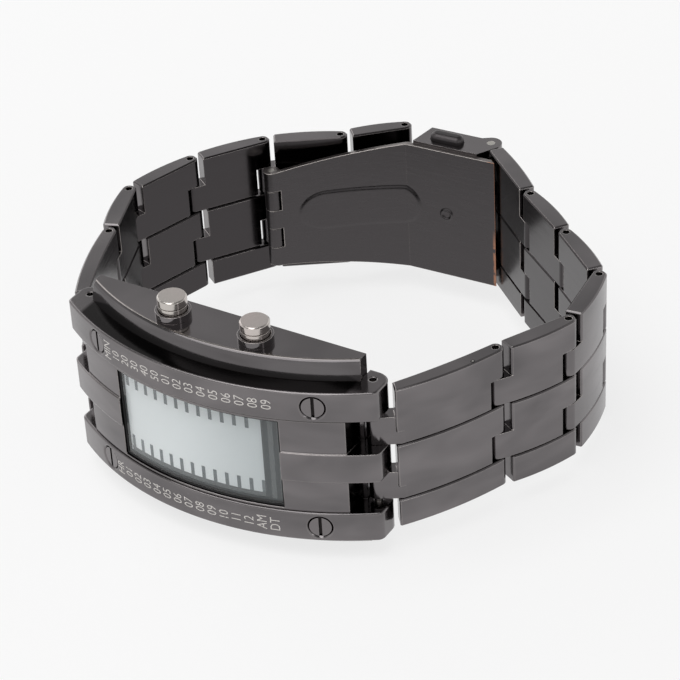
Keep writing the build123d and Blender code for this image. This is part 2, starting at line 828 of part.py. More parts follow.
def link_solids(near, far, side, is_end_link):
    """Two stepped plates and one bar that share the link's two pin lines."""
    length = math.dist(near, far)
    crown, radius = crown_arc(length, is_end_link)
    if is_end_link:
        far_cut = end_link_cut
        outer = end_bar_face(near, far, side, False, 0)
        inner = end_bar_face(near, far, side, True, far_cut)
        web = end_bar_face(near, far, side, False, far_cut)
        near_corner = shoulder_outer_along
    else:
        far_cut = link_cut
        outer = bar_face(near, far, side, link_cut, 0)
        inner = bar_face(near, far, side, 0, far_cut)
        web = bar_face(near, far, side, link_cut, far_cut)
        near_corner = link_cut
    corners = [
        spot(near, far, side, along, on_circle(crown, radius, along))
        for along in (near_corner, length - far_cut)
    ]
    half_gap = side_gap / 2
    for column in range(0, column_count, 2):
        top = bracelet_top - column * column_height
        split = top - column_height
        plate_top = top if column == 0 else top - half_gap
        last_column = column == column_count - 1
        with BuildPart(mode=Mode.PRIVATE) as plate:
            prism(outer, split if last_column else split + half_gap, plate_top)
            if not last_column:
                bottom = split - column_height + half_gap
                prism(inner, bottom, split - half_gap)
                prism(web, split - column_height / 2, split + column_height / 2)
            rims = plate.faces().filter_by(Axis.Z).sort_by(Axis.Z)
            low_rim = rims[0].edges()
            if is_end_link and not last_column:
                low_rim = low_rim.sort_by(SortBy.LENGTH)[-1:]
            upright = plate.edges().filter_by(Axis.Z)
            cuts = upright.filter_by(
                lambda edge: any(
                    math.dist((edge.center().X, edge.center().Y), corner) < link_edge
                    for corner in corners
                )
            )
            chamfer([low_rim, rims[-1].edges(), cuts], link_edge)
            post(far, link_pin_radius + pin_fit, bracelet_bottom, bracelet_top, Mode.SUBTRACT)
            post(near, link_pin_radius + pin_running, bracelet_bottom, bracelet_top, Mode.SUBTRACT)
        add(plate.part)


def clasp_at(along, outward):
    """Plan point measured from the blade pin towards the box pin and outward."""
    return spot(blade_pin, box_pin, 1, along, outward)


for side_name, side, pins in (("right", -1, right_pins), ("left", 1, left_pins)):
    for index in range(len(pins) - 1):
        near = pins[index]
        far = pins[index + 1]
        holds_box = side_name == "right" and index == len(pins) - 2
        with BuildPart() as link:
            link_solids(near, far, side, index == 0)
            if holds_box:
                length = math.dist(near, far)
                trim_start = length - ear_radius - ear_gap
                trim_end = length + link_nose + cut_overrun
                reach = link_nose + link_arch + cut_overrun
                trim = outline([
                    spot(near, far, side, trim_start, -reach),
                    spot(near, far, side, trim_end, -reach),
                    spot(near, far, side, trim_end, reach),
                    spot(near, far, side, trim_start, reach),
                ])
                ear_room = flange_thickness + side_gap
                prism(trim, bracelet_top - ear_room, bracelet_top + cut_overrun, Mode.SUBTRACT)
                prism(trim, bracelet_bottom - cut_overrun, bracelet_bottom + ear_room, Mode.SUBTRACT)
        export(link.part, side_name + "_link_" + str(index + 1))
        if not holds_box:
            with BuildPart() as pin:
                post(far, link_pin_radius, bracelet_bottom + pin_recess, bracelet_top - pin_recess)
            last = index == len(pins) - 2
            export(pin.part, "blade_pin" if last else side_name + "_pin_" + str(index + 1))

# Spring bar inside the last right link, with its two ends in the ears of the box
bar_half_length = bracelet_width / 2 - flange_thickness - side_gap - pin_recess
with BuildPart() as box_spring_bar:
    post(box_pin, link_pin_radius, mid_height - bar_half_length, mid_height + bar_half_length)
export(box_spring_bar.part, "box_spring_bar")

with BuildPart() as box_pin_ends:
    for bottom in (bracelet_bottom, bracelet_top - flange_thickness):
        post(box_pin, pin_end_radius, bottom, bottom + flange_thickness)
export(box_pin_ends.part, "box_pin_ends")

# Clasp blades, folded on the pin where their rolled barrels meet
last_turn = math.atan2(blade_pin[1] - left_pins[-2][1], blade_pin[0] - left_pins[-2][0])
clasp_turn = math.atan2(box_pin[1] - blade_pin[1], box_pin[0] - blade_pin[0])
outer_gap = link_nose + blade_link_gap
strip_turn = last_turn - clasp_turn + math.radians(strip_slant)
fold_turn = math.pi + strip_turn + math.asin((barrel_radius + outer_gap) / fold_reach)
fold_pin_along = fold_reach * math.cos(fold_turn)
fold_pin_out = fold_reach * math.sin(fold_turn)
fold_pin_place = clasp_at(fold_pin_along, fold_pin_out)
section_height = 2 * blade_narrow_half_width / barrel_section_count
barrel_top = mid_height + blade_narrow_half_width


def barrel_sections(order):
    """Heights of every other barrel section, from the first or from the second."""
    sections = []
    for index in range(order, barrel_section_count, 2):
        top = barrel_top - index * section_height
        sections.append((top - section_height + barrel_gap / 2, top - barrel_gap / 2))
    return sections


def local_turn(point, angle, distance):
    """Point at a distance from another in the clasp's own directions."""
    return (point[0] + distance * math.cos(angle), point[1] + distance * math.sin(angle))


hinge = (fold_pin_along, fold_pin_out)
bend_point = (blade_bend_along, blade_level)
inner_slope = math.atan2(bend_point[1] - hinge[1], bend_point[0] - hinge[0])
inner_slope = inner_slope + math.asin(barrel_radius / math.dist(hinge, bend_point))
inner_foot = local_turn(hinge, inner_slope - math.pi / 2, barrel_radius)
chord_middle = ((inner_foot[0] + bend_point[0]) / 2, (inner_foot[1] + bend_point[1]) / 2)
middle_point = local_turn(chord_middle, inner_slope + math.pi / 2, blade_bow)


def circle_through(a, b, c):
    """Centre and radius of the circle through three points."""
    d = 2 * (a[0] * (b[1] - c[1]) + b[0] * (c[1] - a[1]) + c[0] * (a[1] - b[1]))
    sa = a[0] ** 2 + a[1] ** 2
    sb = b[0] ** 2 + b[1] ** 2
    sc = c[0] ** 2 + c[1] ** 2
    x = (sa * (b[1] - c[1]) + sb * (c[1] - a[1]) + sc * (a[1] - b[1])) / d
    y = (sa * (c[0] - b[0]) + sb * (a[0] - c[0]) + sc * (b[0] - a[0])) / d
    return (x, y), math.dist((x, y), a)


blade_centre, blade_radius = circle_through(inner_foot, middle_point, bend_point)


def outside(point):
    """The blade's outer surface opposite a point of its inner surface."""
    share = (blade_radius + blade_thickness) / blade_radius
    return (
        blade_centre[0] + (point[0] - blade_centre[0]) * share,
        blade_centre[1] + (point[1] - blade_centre[1]) * share,
    )


def inner_blade_face():
    """Side outline of the inner blade, bent once and level under the box."""
    end = box_span + blade_end_past_pin
    top_level = blade_level + blade_thickness
    with BuildSketch(mode=Mode.PRIVATE) as shape:
        with BuildLine():
            ThreePointArc(clasp_at(*inner_foot), clasp_at(*middle_point), clasp_at(*bend_point))
            Polyline(
                clasp_at(*bend_point),
                clasp_at(end + blade_end_bevel, blade_level),
                clasp_at(end, top_level),
                clasp_at(blade_bend_along, top_level),
                clasp_at(*outside(bend_point)),
            )
            ThreePointArc(
                clasp_at(*outside(bend_point)),
                clasp_at(*outside(middle_point)),
                clasp_at(*outside(inner_foot)),
            )
            Line(clasp_at(*outside(inner_foot)), clasp_at(*inner_foot))
        make_face()
    return shape.sketch


along_x = (box_pin[0] - blade_pin[0]) / box_span
along_y = (box_pin[1] - blade_pin[1]) / box_span
blade_plan = Plane(
    origin=(blade_pin[0], blade_pin[1], mid_height),
    x_dir=(along_x, along_y, 0),
    z_dir=(along_y, -along_x, 0),
)
blade_reach = box_span - fold_pin_along

with BuildPart() as inner_blade:
    prism(inner_blade_face(), mid_height - blade_half_width, mid_height + blade_half_width)
    with BuildSketch(blade_plan, mode=Mode.PRIVATE) as plan:
        with BuildLine():
            far_end = box_span + blade_end_past_pin + blade_end_bevel + cut_overrun
            Polyline(
                (fold_pin_along - cut_overrun, blade_narrow_half_width),
                (fold_pin_along + barrel_radius, blade_narrow_half_width),
                (blade_bend_along, blade_half_width),
                (far_end, blade_half_width),
                (far_end, -blade_half_width),
                (blade_bend_along, -blade_half_width),
                (fold_pin_along + barrel_radius, -blade_narrow_half_width),
                (fold_pin_along - cut_overrun, -blade_narrow_half_width),
                close=True,
            )
        make_face()
    extrude(plan.sketch, amount=blade_reach, both=True, mode=Mode.INTERSECT)
    for bottom, top in barrel_sections(0):
        post(fold_pin_place, barrel_radius, bottom, top)
    for bottom, top in barrel_sections(1):
        post(fold_pin_place, barrel_radius + barrel_slot_gap, bottom - barrel_gap, top + barrel_gap,
             Mode.SUBTRACT)
    post(fold_pin_place, fold_pin_radius + pin_fit, 0, block_height, Mode.SUBTRACT)
export(inner_blade.part, "inner_blade")

# Outer blade: a straight strip from the barrel to the knuckles on the blade pin
strip_start = local_turn(hinge, strip_turn + math.pi / 2, barrel_radius)
strip_end = local_turn((0, 0), strip_turn - math.pi / 2, outer_gap)
strip_under_end = local_turn(strip_end, strip_turn - math.pi / 2, blade_thickness)
strip_under_start = local_turn(strip_start, strip_turn - math.pi / 2, blade_thickness)
floor_level = blade_level + blade_thickness
button_height = cover_top - floor_level - button_low_margin - button_high_margin
button_out = floor_level + button_low_margin + button_height / 2
lip_out = button_out - lip_drop
first_split = bracelet_top - column_height
second_split = first_split - column_height
knuckles = [
    (second_split + side_gap, first_split - side_gap),
    (2 * mid_height - first_split + side_gap, 2 * mid_height - second_split - side_gap),
]
with BuildPart() as outer_blade:
    prism(
        outline([clasp_at(*p) for p in (strip_start, strip_end, strip_under_end, strip_under_start)]),
        mid_height - outer_blade_half_width,
        mid_height + outer_blade_half_width,
    )
    neck = [
        local_turn((0, 0), strip_turn, knuckle_neck),
        local_turn((0, 0), strip_turn, -knuckle_neck),
        local_turn(strip_under_end, strip_turn, -2 * knuckle_neck),
        strip_under_end,
    ]
    lip = [
        local_turn(strip_under_end, strip_turn, -knuckle_neck),
        (lip_reach, lip_out - lip_thickness),
        (lip_reach, lip_out),
        (strip_end[0], lip_out),
        local_turn(strip_end, strip_turn, -knuckle_neck),
    ]
    for bottom, top in knuckles:
        post(blade_pin, knuckle_radius, bottom, top)
        prism(outline([clasp_at(*p) for p in neck]), bottom, top)
    hook_side = hook_thickness + hook_lip_gap
    for bottom, top in (
        (knuckles[0][0] + hook_side, knuckles[0][1]),
        (knuckles[1][0], knuckles[1][1] - hook_side),
    ):
        prism(outline([clasp_at(*p) for p in lip]), bottom, top)
    for bottom, top in barrel_sections(0):
        post(fold_pin_place, barrel_radius + barrel_slot_gap, bottom - barrel_gap, top + barrel_gap,
             Mode.SUBTRACT)
    for bottom, top in barrel_sections(1):
        post(fold_pin_place, barrel_radius, bottom, top)
    post(fold_pin_place, fold_pin_radius + pin_running, 0, block_height, Mode.SUBTRACT)
    post(blade_pin, link_pin_radius + pin_running, 0, block_height, Mode.SUBTRACT)
export(outer_blade.part, "outer_blade")

with BuildPart() as fold_pin:
    post(fold_pin_place, fold_pin_radius, mid_height - blade_narrow_half_width, barrel_top)
export(fold_pin.part, "fold_pin")

# Clasp box: floor, two flanges with ears, cover and a rib between the springs
ear_turn = math.radians(ear_slant)
flange_foot = box_span - flange_foot_setback
cover_bottom = cover_top - cover_thickness
button_along = (box_left + box_span - ear_radius) / 2
flanges = [
    (bracelet_bottom, bracelet_bottom + flange_thickness),
    (bracelet_top - flange_thickness, bracelet_top),
]
button_plan = Plane(
    origin=(*clasp_at(button_along, button_out), 0), x_dir=(along_x, along_y, 0), z_dir=(0, 0, 1)
)


def oval(length, height, bottom, top, mode=Mode.ADD):
    """Upright bar with an oval section on the buttons' line."""
    with BuildSketch(button_plan.offset(bottom), mode=Mode.PRIVATE) as shape:
        SlotOverall(length, height)
    extrude(shape.sketch, amount=top - bottom, mode=mode)


with BuildPart() as clasp_box:
    ear_side = [
        clasp_at(box_left, floor_level),
        clasp_at(flange_foot, floor_level),
        clasp_at(*local_turn((box_span, 0), -ear_turn, ear_radius)),
        clasp_at(box_span, 0),
        clasp_at(*local_turn((box_span, 0), math.pi / 2 + ear_turn, ear_radius)),
        clasp_at(box_span - cover_setback, cover_top),
        clasp_at(box_left + box_slant, cover_top),
    ]
    for bottom, top in flanges:
        prism(outline(ear_side), bottom, top)
        post(box_pin, ear_radius, bottom, top)
    prism(
        outline([
            clasp_at(box_left, floor_level),
            clasp_at(flange_foot - ear_radius, floor_level),
            clasp_at(flange_foot - ear_radius, floor_level + box_floor),
            clasp_at(box_left, floor_level + box_floor),
        ]),
        bracelet_bottom,
        bracelet_top,
    )
    prism(
        outline([
            clasp_at(box_left + box_slant, cover_bottom),
            clasp_at(box_span - cover_setback, cover_bottom),
            clasp_at(box_span - cover_setback, cover_top),
            clasp_at(box_left + box_slant, cover_top),
        ]),
        bracelet_bottom,
        bracelet_top,
    )
    prism(
        outline([
            clasp_at(button_along - rib_half_length, floor_level),
            clasp_at(button_along + rib_half_length, floor_level),
            clasp_at(button_along + rib_half_length, cover_top),
            clasp_at(button_along - rib_half_length, cover_top),
        ]),
        mid_height - rib_half_thickness,
        mid_height + rib_half_thickness,
    )
    for bottom, top in flanges:
        oval(button_length + 2 * bore_running, button_height + 2 * bore_running,
             bottom - cut_overrun, top + cut_overrun, Mode.SUBTRACT)
        post(box_pin, pin_end_radius + pin_fit, bottom - cut_overrun, top + cut_overrun, Mode.SUBTRACT)
export(clasp_box.part, "clasp_box")

# Push buttons with a collar behind the flange, a hook beside the catch lip and a spring
collar_outer = bracelet_top - flange_thickness - button_collar_gap
collar_inner = collar_outer - button_collar_depth
hook_bottom = knuckles[0][0]
hook_top = hook_bottom + hook_thickness
arm_left = button_along - button_length / 2 - hook_inset
for name, upright in (("upper", True), ("lower", False)):

    def heights(low, high):
        """Heights of the upper button's feature, mirrored for the lower one."""
        return (low, high) if upright else (2 * mid_height - high, 2 * mid_height - low)

    with BuildPart() as button:
        low, high = heights(collar_inner, bracelet_top + button_proud)
        oval(button_length, button_height, low, high)
        tip = button.faces().sort_by(Axis.Z)[-1 if upright else 0]
        fillet(tip.edges(), button_dome)
        low, high = heights(collar_inner, collar_outer)
        oval(button_length + 2 * button_collar_reach, button_height, low, high)
        low, high = heights(hook_bottom, collar_outer)
        arm = [
            clasp_at(arm_left, button_out - hook_half_height),
            clasp_at(arm_left + hook_width, button_out - hook_half_height),
            clasp_at(arm_left + hook_width, button_out + hook_half_height),
            clasp_at(arm_left, button_out + hook_half_height),
        ]
        prism(outline(arm), low, high)
        low, high = heights(hook_bottom, hook_top)
        finger = [
            clasp_at(hook_tip, button_out - hook_half_height),
            clasp_at(arm_left + hook_width, button_out - hook_half_height),
            clasp_at(arm_left + hook_width, button_out + hook_half_height),
            clasp_at(hook_tip, button_out + hook_half_height),
        ]
        prism(outline(finger), low, high)
    export(button.part, name + "_button")
    with BuildPart() as spring:
        low, high = heights(mid_height + rib_half_thickness, collar_inner)
        place = clasp_at(button_along, button_out)
        post(place, button_spring_radius, low, high)
        post(place, button_spring_radius - spring_wall, low - cut_overrun, high + cut_overrun, Mode.SUBTRACT)
    export(spring.part, name + "_button_spring")

for label, points in (("right pins", right_pins), ("left pins", left_pins)):
    print(label, [(round(x, 3), round(y, 3)) for x, y in points])
print("fold pin", [round(v, 3) for v in fold_pin_place], "box span", round(box_span, 3))
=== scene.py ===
"""Finishes and small details of a binary wrist watch, laid over its solid model."""

import json
import math

import bpy
import numpy as np
from bpy.props import FloatProperty, FloatVectorProperty, IntProperty, PointerProperty
from bpy.types import Operator, Panel, PropertyGroup
from mathutils import Matrix, Vector

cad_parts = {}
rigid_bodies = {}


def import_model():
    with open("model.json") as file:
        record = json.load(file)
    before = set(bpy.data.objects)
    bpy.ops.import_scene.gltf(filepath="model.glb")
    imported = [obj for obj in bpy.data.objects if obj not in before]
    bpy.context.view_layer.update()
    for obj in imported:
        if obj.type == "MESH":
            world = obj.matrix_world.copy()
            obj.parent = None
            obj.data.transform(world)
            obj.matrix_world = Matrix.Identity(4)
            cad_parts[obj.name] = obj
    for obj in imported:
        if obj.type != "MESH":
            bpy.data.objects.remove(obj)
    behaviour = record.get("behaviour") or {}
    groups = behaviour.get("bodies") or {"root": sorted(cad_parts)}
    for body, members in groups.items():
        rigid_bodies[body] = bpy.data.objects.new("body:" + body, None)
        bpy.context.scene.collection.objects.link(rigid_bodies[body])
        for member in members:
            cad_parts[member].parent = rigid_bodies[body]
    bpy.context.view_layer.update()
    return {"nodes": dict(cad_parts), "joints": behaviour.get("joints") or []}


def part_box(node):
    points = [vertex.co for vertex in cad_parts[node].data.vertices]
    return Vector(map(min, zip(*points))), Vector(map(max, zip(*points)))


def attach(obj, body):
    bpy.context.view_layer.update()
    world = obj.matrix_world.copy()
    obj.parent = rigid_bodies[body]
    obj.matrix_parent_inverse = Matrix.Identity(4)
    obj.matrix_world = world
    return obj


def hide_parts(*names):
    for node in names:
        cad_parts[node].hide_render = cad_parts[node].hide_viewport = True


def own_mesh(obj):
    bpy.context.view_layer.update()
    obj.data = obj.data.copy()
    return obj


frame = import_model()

bl_info = {
    "name": "Binary watch",
    "version": (1, 0, 0),
    "blender": (4, 5, 0),
    "location": "3D View > Sidebar > Watch",
    "description": "Finishes and small details of a binary wrist watch",
    "category": "Object",
}

MM = 0.001


# Colours and sizes


def linear(text):
    """An sRGB hex colour as linear red, green, blue and a full alpha."""
    parts = np.array([int(text[i : i + 2], 16) for i in (1, 3, 5)]) / 255
    return (*np.where(parts <= 0.04045, parts / 12.92, ((parts + 0.055) / 1.055) ** 2.4), 1.0)


def colour(text, label, note):
    """A colour the user can change."""
    return FloatVectorProperty(
        name=label, description=note, subtype="COLOR", size=4, min=0, max=1, default=linear(text)
    )


def length(millimetres, label, note):
    """A length the user can change, kept in metres."""
    return FloatProperty(name=label, description=note, unit="LENGTH", default=millimetres * MM)


def whole(number, label, note):
    """A number of things the user can change."""
    return IntProperty(name=label, description=note, default=number, min=2)


class WatchColours(PropertyGroup):
    """Colours of the watch's finishes. A grain is the second tone of a fine pattern."""

    plating: colour("#666364", "Plating", "Dark chrome plating of the case and links")
    plating_light: colour("#7a7677", "Plating, light", "Paler drifts in the plating")
    # Painted shade: darkens the ledge behind the rails, the screws' slots and the disc at a pin's end
    painted_shade: colour("#242222", "Shade", "Plating in recesses, never buffed")
    # Painted highlight: a pale tone on rounded metal edges and on the clasp blade's narrow edges
    painted_edge_highlight: colour("#c9c2be", "Worn edge", "Edges where the plating is polished thin")
    # Painted shade on the links' faces towards the wrist; also the buttons' own dark plating and a tone
    # of the shaded disc at a pin's end
    wrist_shade_and_button: colour("#454243", "Wrist side", "Darker inner faces of the links")
    # Also the base of the block's sloped front, where this darker tone is painted shade
    blade: colour("#4f4c4d", "Blade", "Satin plating of the clasp blades")
    copper: colour("#b98468", "Copper strike", "Layer below the plating, at the blade's worn end")
    pusher: colour("#c9bfbb", "Pusher", "Turned pushers")
    screw: colour("#757172", "Screw", "Screw heads")
    bare_steel: colour("#b4b0ab", "Bare steel", "Pins and spring wire")
    cell: colour("#bcbab4", "Cell", "Nickel plate of the coin cell")
    enamel: colour("#e2deda", "Enamel", "Paint in the engraved scales")
    enamel_grain: colour("#d2cec9", "Enamel, grain", "Darker spots of the paint")
    glass: colour("#fbfdfd", "Glass", "Tint of the mineral glass")
    glass_shadow: colour("#f8fafa", "Glass shadow", "Tint of the light that the glass lets by")
    panel: colour("#fafcfd", "Panel", "Lit part of the liquid crystal panel")
    panel_grain: colour("#f0f3f4", "Panel, grain", "Clouds in the lit part")
    # Painted shade: the panel darkens towards its right end
    panel_end: colour("#cdd2d4", "Panel end", "Right end of the lit part, where it dims")
    segment: colour("#5b6266", "Segment", "Segments of the panel that are on")
    segment_grain: colour("#6b7276", "Segment, grain", "Paler spots of the segments")
    film: colour("#454a4c", "Film", "Dark print round the panel")
    film_grain: colour("#565c5e", "Film, grain", "Paler spots of the print")
    rubber: colour("#1d1d1e", "Rubber", "Seals")
    rubber_grain: colour("#2b2b2c", "Rubber, grain", "Paler spots of the seals")
    carbon: colour("#3a3436", "Carbon", "Dark layers of the contact strips")
    silicone: colour("#b98f92", "Silicone", "Pink rubber of the contact strips")
    board: colour("#1c4a35", "Board", "Solder resist of the circuit board")
    board_grain: colour("#2c6a4c", "Board, grain", "Paler weave below the resist")
    paper: colour("#f4f4f4", "Paper", "White paper of the floor")


class WatchSizes(PropertyGroup):
    """Sizes and places of the small details. Places along the clasp start at the blade pin."""

    arc_centre: length(33.597, "Arc centre", "Depth of the upright axis of the front's arcs")
    rail_radius: length(43.347, "Rail radius", "Radius of the front of the rails")
    block_radius: length(39.897, "Block radius", "Radius of the front of the block")
    panel_radius: length(41.797, "Panel radius", "Radius of the front of the panel")
    block_flare: length(0.55, "Block flare", "How far the block's sloped front stands out at its foot")
    block_chamfer: length(0.35, "Block chamfer", "Height of the chamfer round the block")
    # Depths behind the rails from which painted shade darkens the ledge and the slots, and the half
    # length where it stops
    ledge_floor: length(0.3, "Ledge floor", "Depth behind the rails at which the ledge starts")
    ledge_end: length(21.0, "Ledge end", "Half length of the ledge between block and rail")
    slot_floor: length(0.12, "Slot floor", "Depth behind the rails at which a slot starts")
    upper_scale: length(24.4, "Upper scale", "Height of the middle of the minute scale")
    lower_scale: length(5.1, "Lower scale", "Height of the middle of the hour scale")
    scale_start: length(-14.7, "Scale start", "Place of the first label along the arc")
    scale_pitch: length(1.846, "Scale pitch", "Distance between labels along the arc")
    letter_height: length(1.46, "Letter height", "Height of the labels' letters")
    letter_width: FloatProperty(
        name="Letter width", description="Width of the letters over their plain width", default=0.8
    )
    paint: length(0.004, "Paint", "How far the paint stands above the rail")
    film_border: length(0.6, "Film border", "Width of the film above and below the panel's field")
    upper_count: whole(12, "Upper segments", "Number of upper segments")
    lower_count: whole(13, "Lower segments", "Number of lower segments")
    segment_start: length(-11.9, "Segment start", "Place of the first segment along the arc")
    segment_pitch: length(1.76, "Segment pitch", "Distance between segments along the arc")
    segment_width: length(0.52, "Segment width", "Width of one segment")
    segment_rise: length(0.03, "Segment rise", "How far the segments stand above the panel")
    upper_segment: length(1.85, "Upper segment", "Length of an upper segment")
    lower_segment: length(1.95, "Lower segment", "Length of a lower segment")
    lower_border: length(0.75, "Lower border", "Height of the dark print below the lower segments")
    border_rise: length(0.02, "Border rise", "How far that print stands above the panel")
    border_inset: length(1.0, "Border inset", "Distance of that print from the film's ends")
    panel_bright: length(-6.0, "Panel bright", "Place across where the panel starts to dim")
    panel_dim: length(12.0, "Panel dim", "Place across from which it is dimmest")
    loop_x: length(1.5, "Loop middle, across", "Middle of the bracelet's loop, across the watch")
    loop_y: length(27.0, "Loop middle, deep", "Middle of the bracelet's loop, behind the front")
    plate_pin_x: length(30.9, "Plate pin, across", "Place of the pin's end on the first right link")
    plate_pin_y: length(10.4, "Plate pin, deep", "Place of the pin's end on the first right link")
    # The dark rim round the pin's end is a disc of painted shade
    plate_hole: length(0.32, "Plate hole", "Radius of the dark rim round the pin's end")
    plate_pin: length(0.17, "Plate pin", "Radius of the pin's end")
    hole_rise: length(0.01, "Plate hole rise", "How far the rim stands above the link")
    pin_rise: length(0.03, "Plate pin rise", "How far the pin's end stands above the link")
    oval_along: length(-3.2, "Oval field, along", "Place of its middle along the clasp")
    oval_height: length(15.1, "Oval field, height", "Height of its middle")
    oval_straight: length(4.7, "Oval field, straight", "Half length of its straight sides")
    oval_radius: length(3.1, "Oval field, radius", "Radius of its round ends")
    oval_rise: length(0.24, "Oval field, rise", "How far it stands out")
    oval_side: length(0.12, "Oval field, side", "Softness of its sides")
    oval_margin: length(0.8, "Oval field, margin", "Width of the form beyond its rim")
    dimple_along: length(8.9, "Dimple, along", "Place of its middle along the clasp")
    dimple_height: length(14.8, "Dimple, height", "Height of its middle")
    dimple_radius: length(0.8, "Dimple, radius", "Radius of its ridge")
    dimple_width: length(0.22, "Dimple, width", "Half width of its ridge")
    dimple_rise: length(0.2, "Dimple, rise", "How far its ridge stands out")
    dimple_margin: length(0.7, "Dimple, margin", "Width of the form beyond its ridge")
    copper_start: length(15.4, "Copper start", "Place along the clasp where worn edges turn to copper")
    copper_fade: length(0.6, "Copper fade", "Length over which they turn")
    copper_band: length(0.5, "Copper band", "Width of the rubbed band at the blade's free end")
    copper_top: length(14.0, "Copper top", "Height up to which that band is rubbed")
    copper_full: length(11.0, "Copper full", "Height from which down it is rubbed most")
    wire: length(0.26, "Spring wire", "Thickness of the springs' wire")
    coils: whole(6, "Coils", "Fewest turns of a spring")


# Shapes


def grid_faces(rows, columns, closed_rows=False, closed_columns=False):
    """Four-cornered faces of a grid of points, joined up where it closes on itself."""
    down = np.arange(rows if closed_rows else rows - 1)
    over = np.arange(columns if closed_columns else columns - 1)
    row, column = np.meshgrid(down, over, indexing="ij")
    below, beside = (row + 1) % rows * columns, (column + 1) % columns
    row = row * columns
    quads = np.stack([row + column, below + column, below + beside, row + beside], axis=-1)
    return quads.reshape(-1, 4).tolist()


def bar_faces(stations, section):
    """Faces of a closed section carried along a path, with a flat face on each end."""
    last = (stations - 1) * section
    ends = [list(range(section)), list(range(last, last + section))[::-1]]
    return grid_faces(stations, section, closed_columns=True) + ends


def place_mesh(name, vertices, faces, finish, body, smooth=False):
    """A mesh object at the origin that rides on a body."""
    mesh = bpy.data.meshes.new(name)
    mesh.from_pydata(vertices.reshape(-1, 3), [], faces)
    mesh.polygons.foreach_set("use_smooth", np.full(len(mesh.polygons), smooth))
    mesh.materials.append(finish)
    made = bpy.data.objects.new(name, mesh)
    bpy.context.scene.collection.objects.link(made)
    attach(made, body)
    return made


def on_arc(along, outward, height, radius):
    """Points about the axis of the front's arcs: an arc length, a distance out and a height.

    Turn is along / radius and reach is radius + outward. Across is reach x sin(turn), and
    depth is the axis's depth less reach x cos(turn).
    """
    along, outward, height = np.broadcast_arrays(along, outward, height)
    turn = along / radius
    reach = radius + outward
    centre = bpy.context.scene.watch_sizes.arc_centre
    return np.stack([reach * np.sin(turn), centre - reach * np.cos(turn), height], axis=-1)


# Text size over the height of its capitals, and how much the strokes are thinned
TEXT_OVER_CAPITAL = 1.37
THINNING = 0.01


def word_shape(word, height, thickness):
    """The vertices and faces of a word, a flat solid round the origin."""
    text = bpy.data.curves.new("label", "FONT")
    text.body = word
    text.extrude = thickness
    text.size = TEXT_OVER_CAPITAL * height
    text.align_x = "CENTER"
    text.align_y = "CENTER"
    text.resolution_u = 3
    text.offset = -THINNING * height
    held = bpy.data.objects.new("label", text)
    bpy.context.scene.collection.objects.link(held)
    bpy.context.view_layer.update()
    mesh = bpy.data.meshes.new_from_object(held.evaluated_get(bpy.context.evaluated_depsgraph_get()))
    points = np.zeros(len(mesh.vertices) * 3)
    mesh.vertices.foreach_get("co", points)
    points = points.reshape(-1, 3)
    points[:, :2] -= (points.min(0)[:2] + points.max(0)[:2]) / 2
    faces = [list(polygon.vertices) for polygon in mesh.polygons]
    bpy.data.objects.remove(held)
    bpy.data.curves.remove(text)
    bpy.data.meshes.remove(mesh)
    return points, faces


def lettering(words, height, thickness):
    """Words round the origin: all vertices, the word each belongs to, and the faces."""
    vertices, owners, faces, count = [], [], [], 0
    for index, word in enumerate(words):
        points, corners = word_shape(word, height, thickness)
        vertices.append(points)
        owners.append(np.full(len(points), index))
        faces.extend([count + corner for corner in face] for face in corners)
        count += len(points)
    return np.concatenate(vertices), np.concatenate(owners), faces


def coil(low, high, turns, wire, mean, sides=10, steps=28):
    """A round wire carried along a helix of a mean radius: its vertices and faces.

    Its rise is even between the two ends, and nothing over the first and last 0.8 turns.
    """
    flat = 0.8
    count = turns * steps + 1
    share = np.linspace(0.0, 1.0, count)
    turn = (share * turns * 2 * np.pi)[:, None]
    ease = np.clip((share * turns - flat) / (turns - 2 * flat), 0.0, 1.0)
    rise = low + wire / 2 + ease * (high - low - wire)
    around = np.linspace(0, 2 * np.pi, sides, endpoint=False)
    reach = mean + wire / 2 * np.cos(around)
    height = rise[:, None] + wire / 2 * np.sin(around)
    shape = np.stack([reach * np.cos(turn), reach * np.sin(turn), height], axis=-1)
    return shape.reshape(-1, 3), bar_faces(count, sides)


# Wrist side of the inner blade, seen from above: an arc from the fold over a middle point to
# a bend, then level to the free end. Its points are a place along the clasp, from the blade
# pin towards the box pin, and a distance outward from the line between the two pins.
BLADE_PIN = np.array([-7.704, 60.197]) * MM
BOX_PIN = np.array([6.472, 60.950]) * MM
CLASP_WAY = (BOX_PIN - BLADE_PIN) / np.linalg.norm(BOX_PIN - BLADE_PIN)
BLADE_FOLD = np.array([-13.804, -16.177]) * MM
BLADE_MIDDLE = np.array([-6.257, -9.574]) * MM
BLADE_BEND = np.array([2.45, -4.6]) * MM
BLADE_END = 16.845 * MM
# How deep the rim of a form on the blade is sunk into it, and the form's grid of points
SUNK = 0.02 * MM
FORM_GRID = (161, 81)


def blade_level(along):
    """Distance outward of the wrist side: on the circle through three points, or level."""
    chords = np.array([BLADE_MIDDLE - BLADE_FOLD, BLADE_BEND - BLADE_FOLD])
    squares = [point @ point - BLADE_FOLD @ BLADE_FOLD for point in (BLADE_MIDDLE, BLADE_BEND)]
    centre = np.linalg.solve(2 * chords, squares)
    radius = np.linalg.norm(BLADE_FOLD - centre)
    side = np.sign(BLADE_MIDDLE[1] - centre[1])
    drop = np.sqrt(np.maximum(radius**2 - (along - centre[0]) ** 2, 0.0))
    return np.where(along < BLADE_BEND[0], centre[1] + side * drop, BLADE_BEND[1])


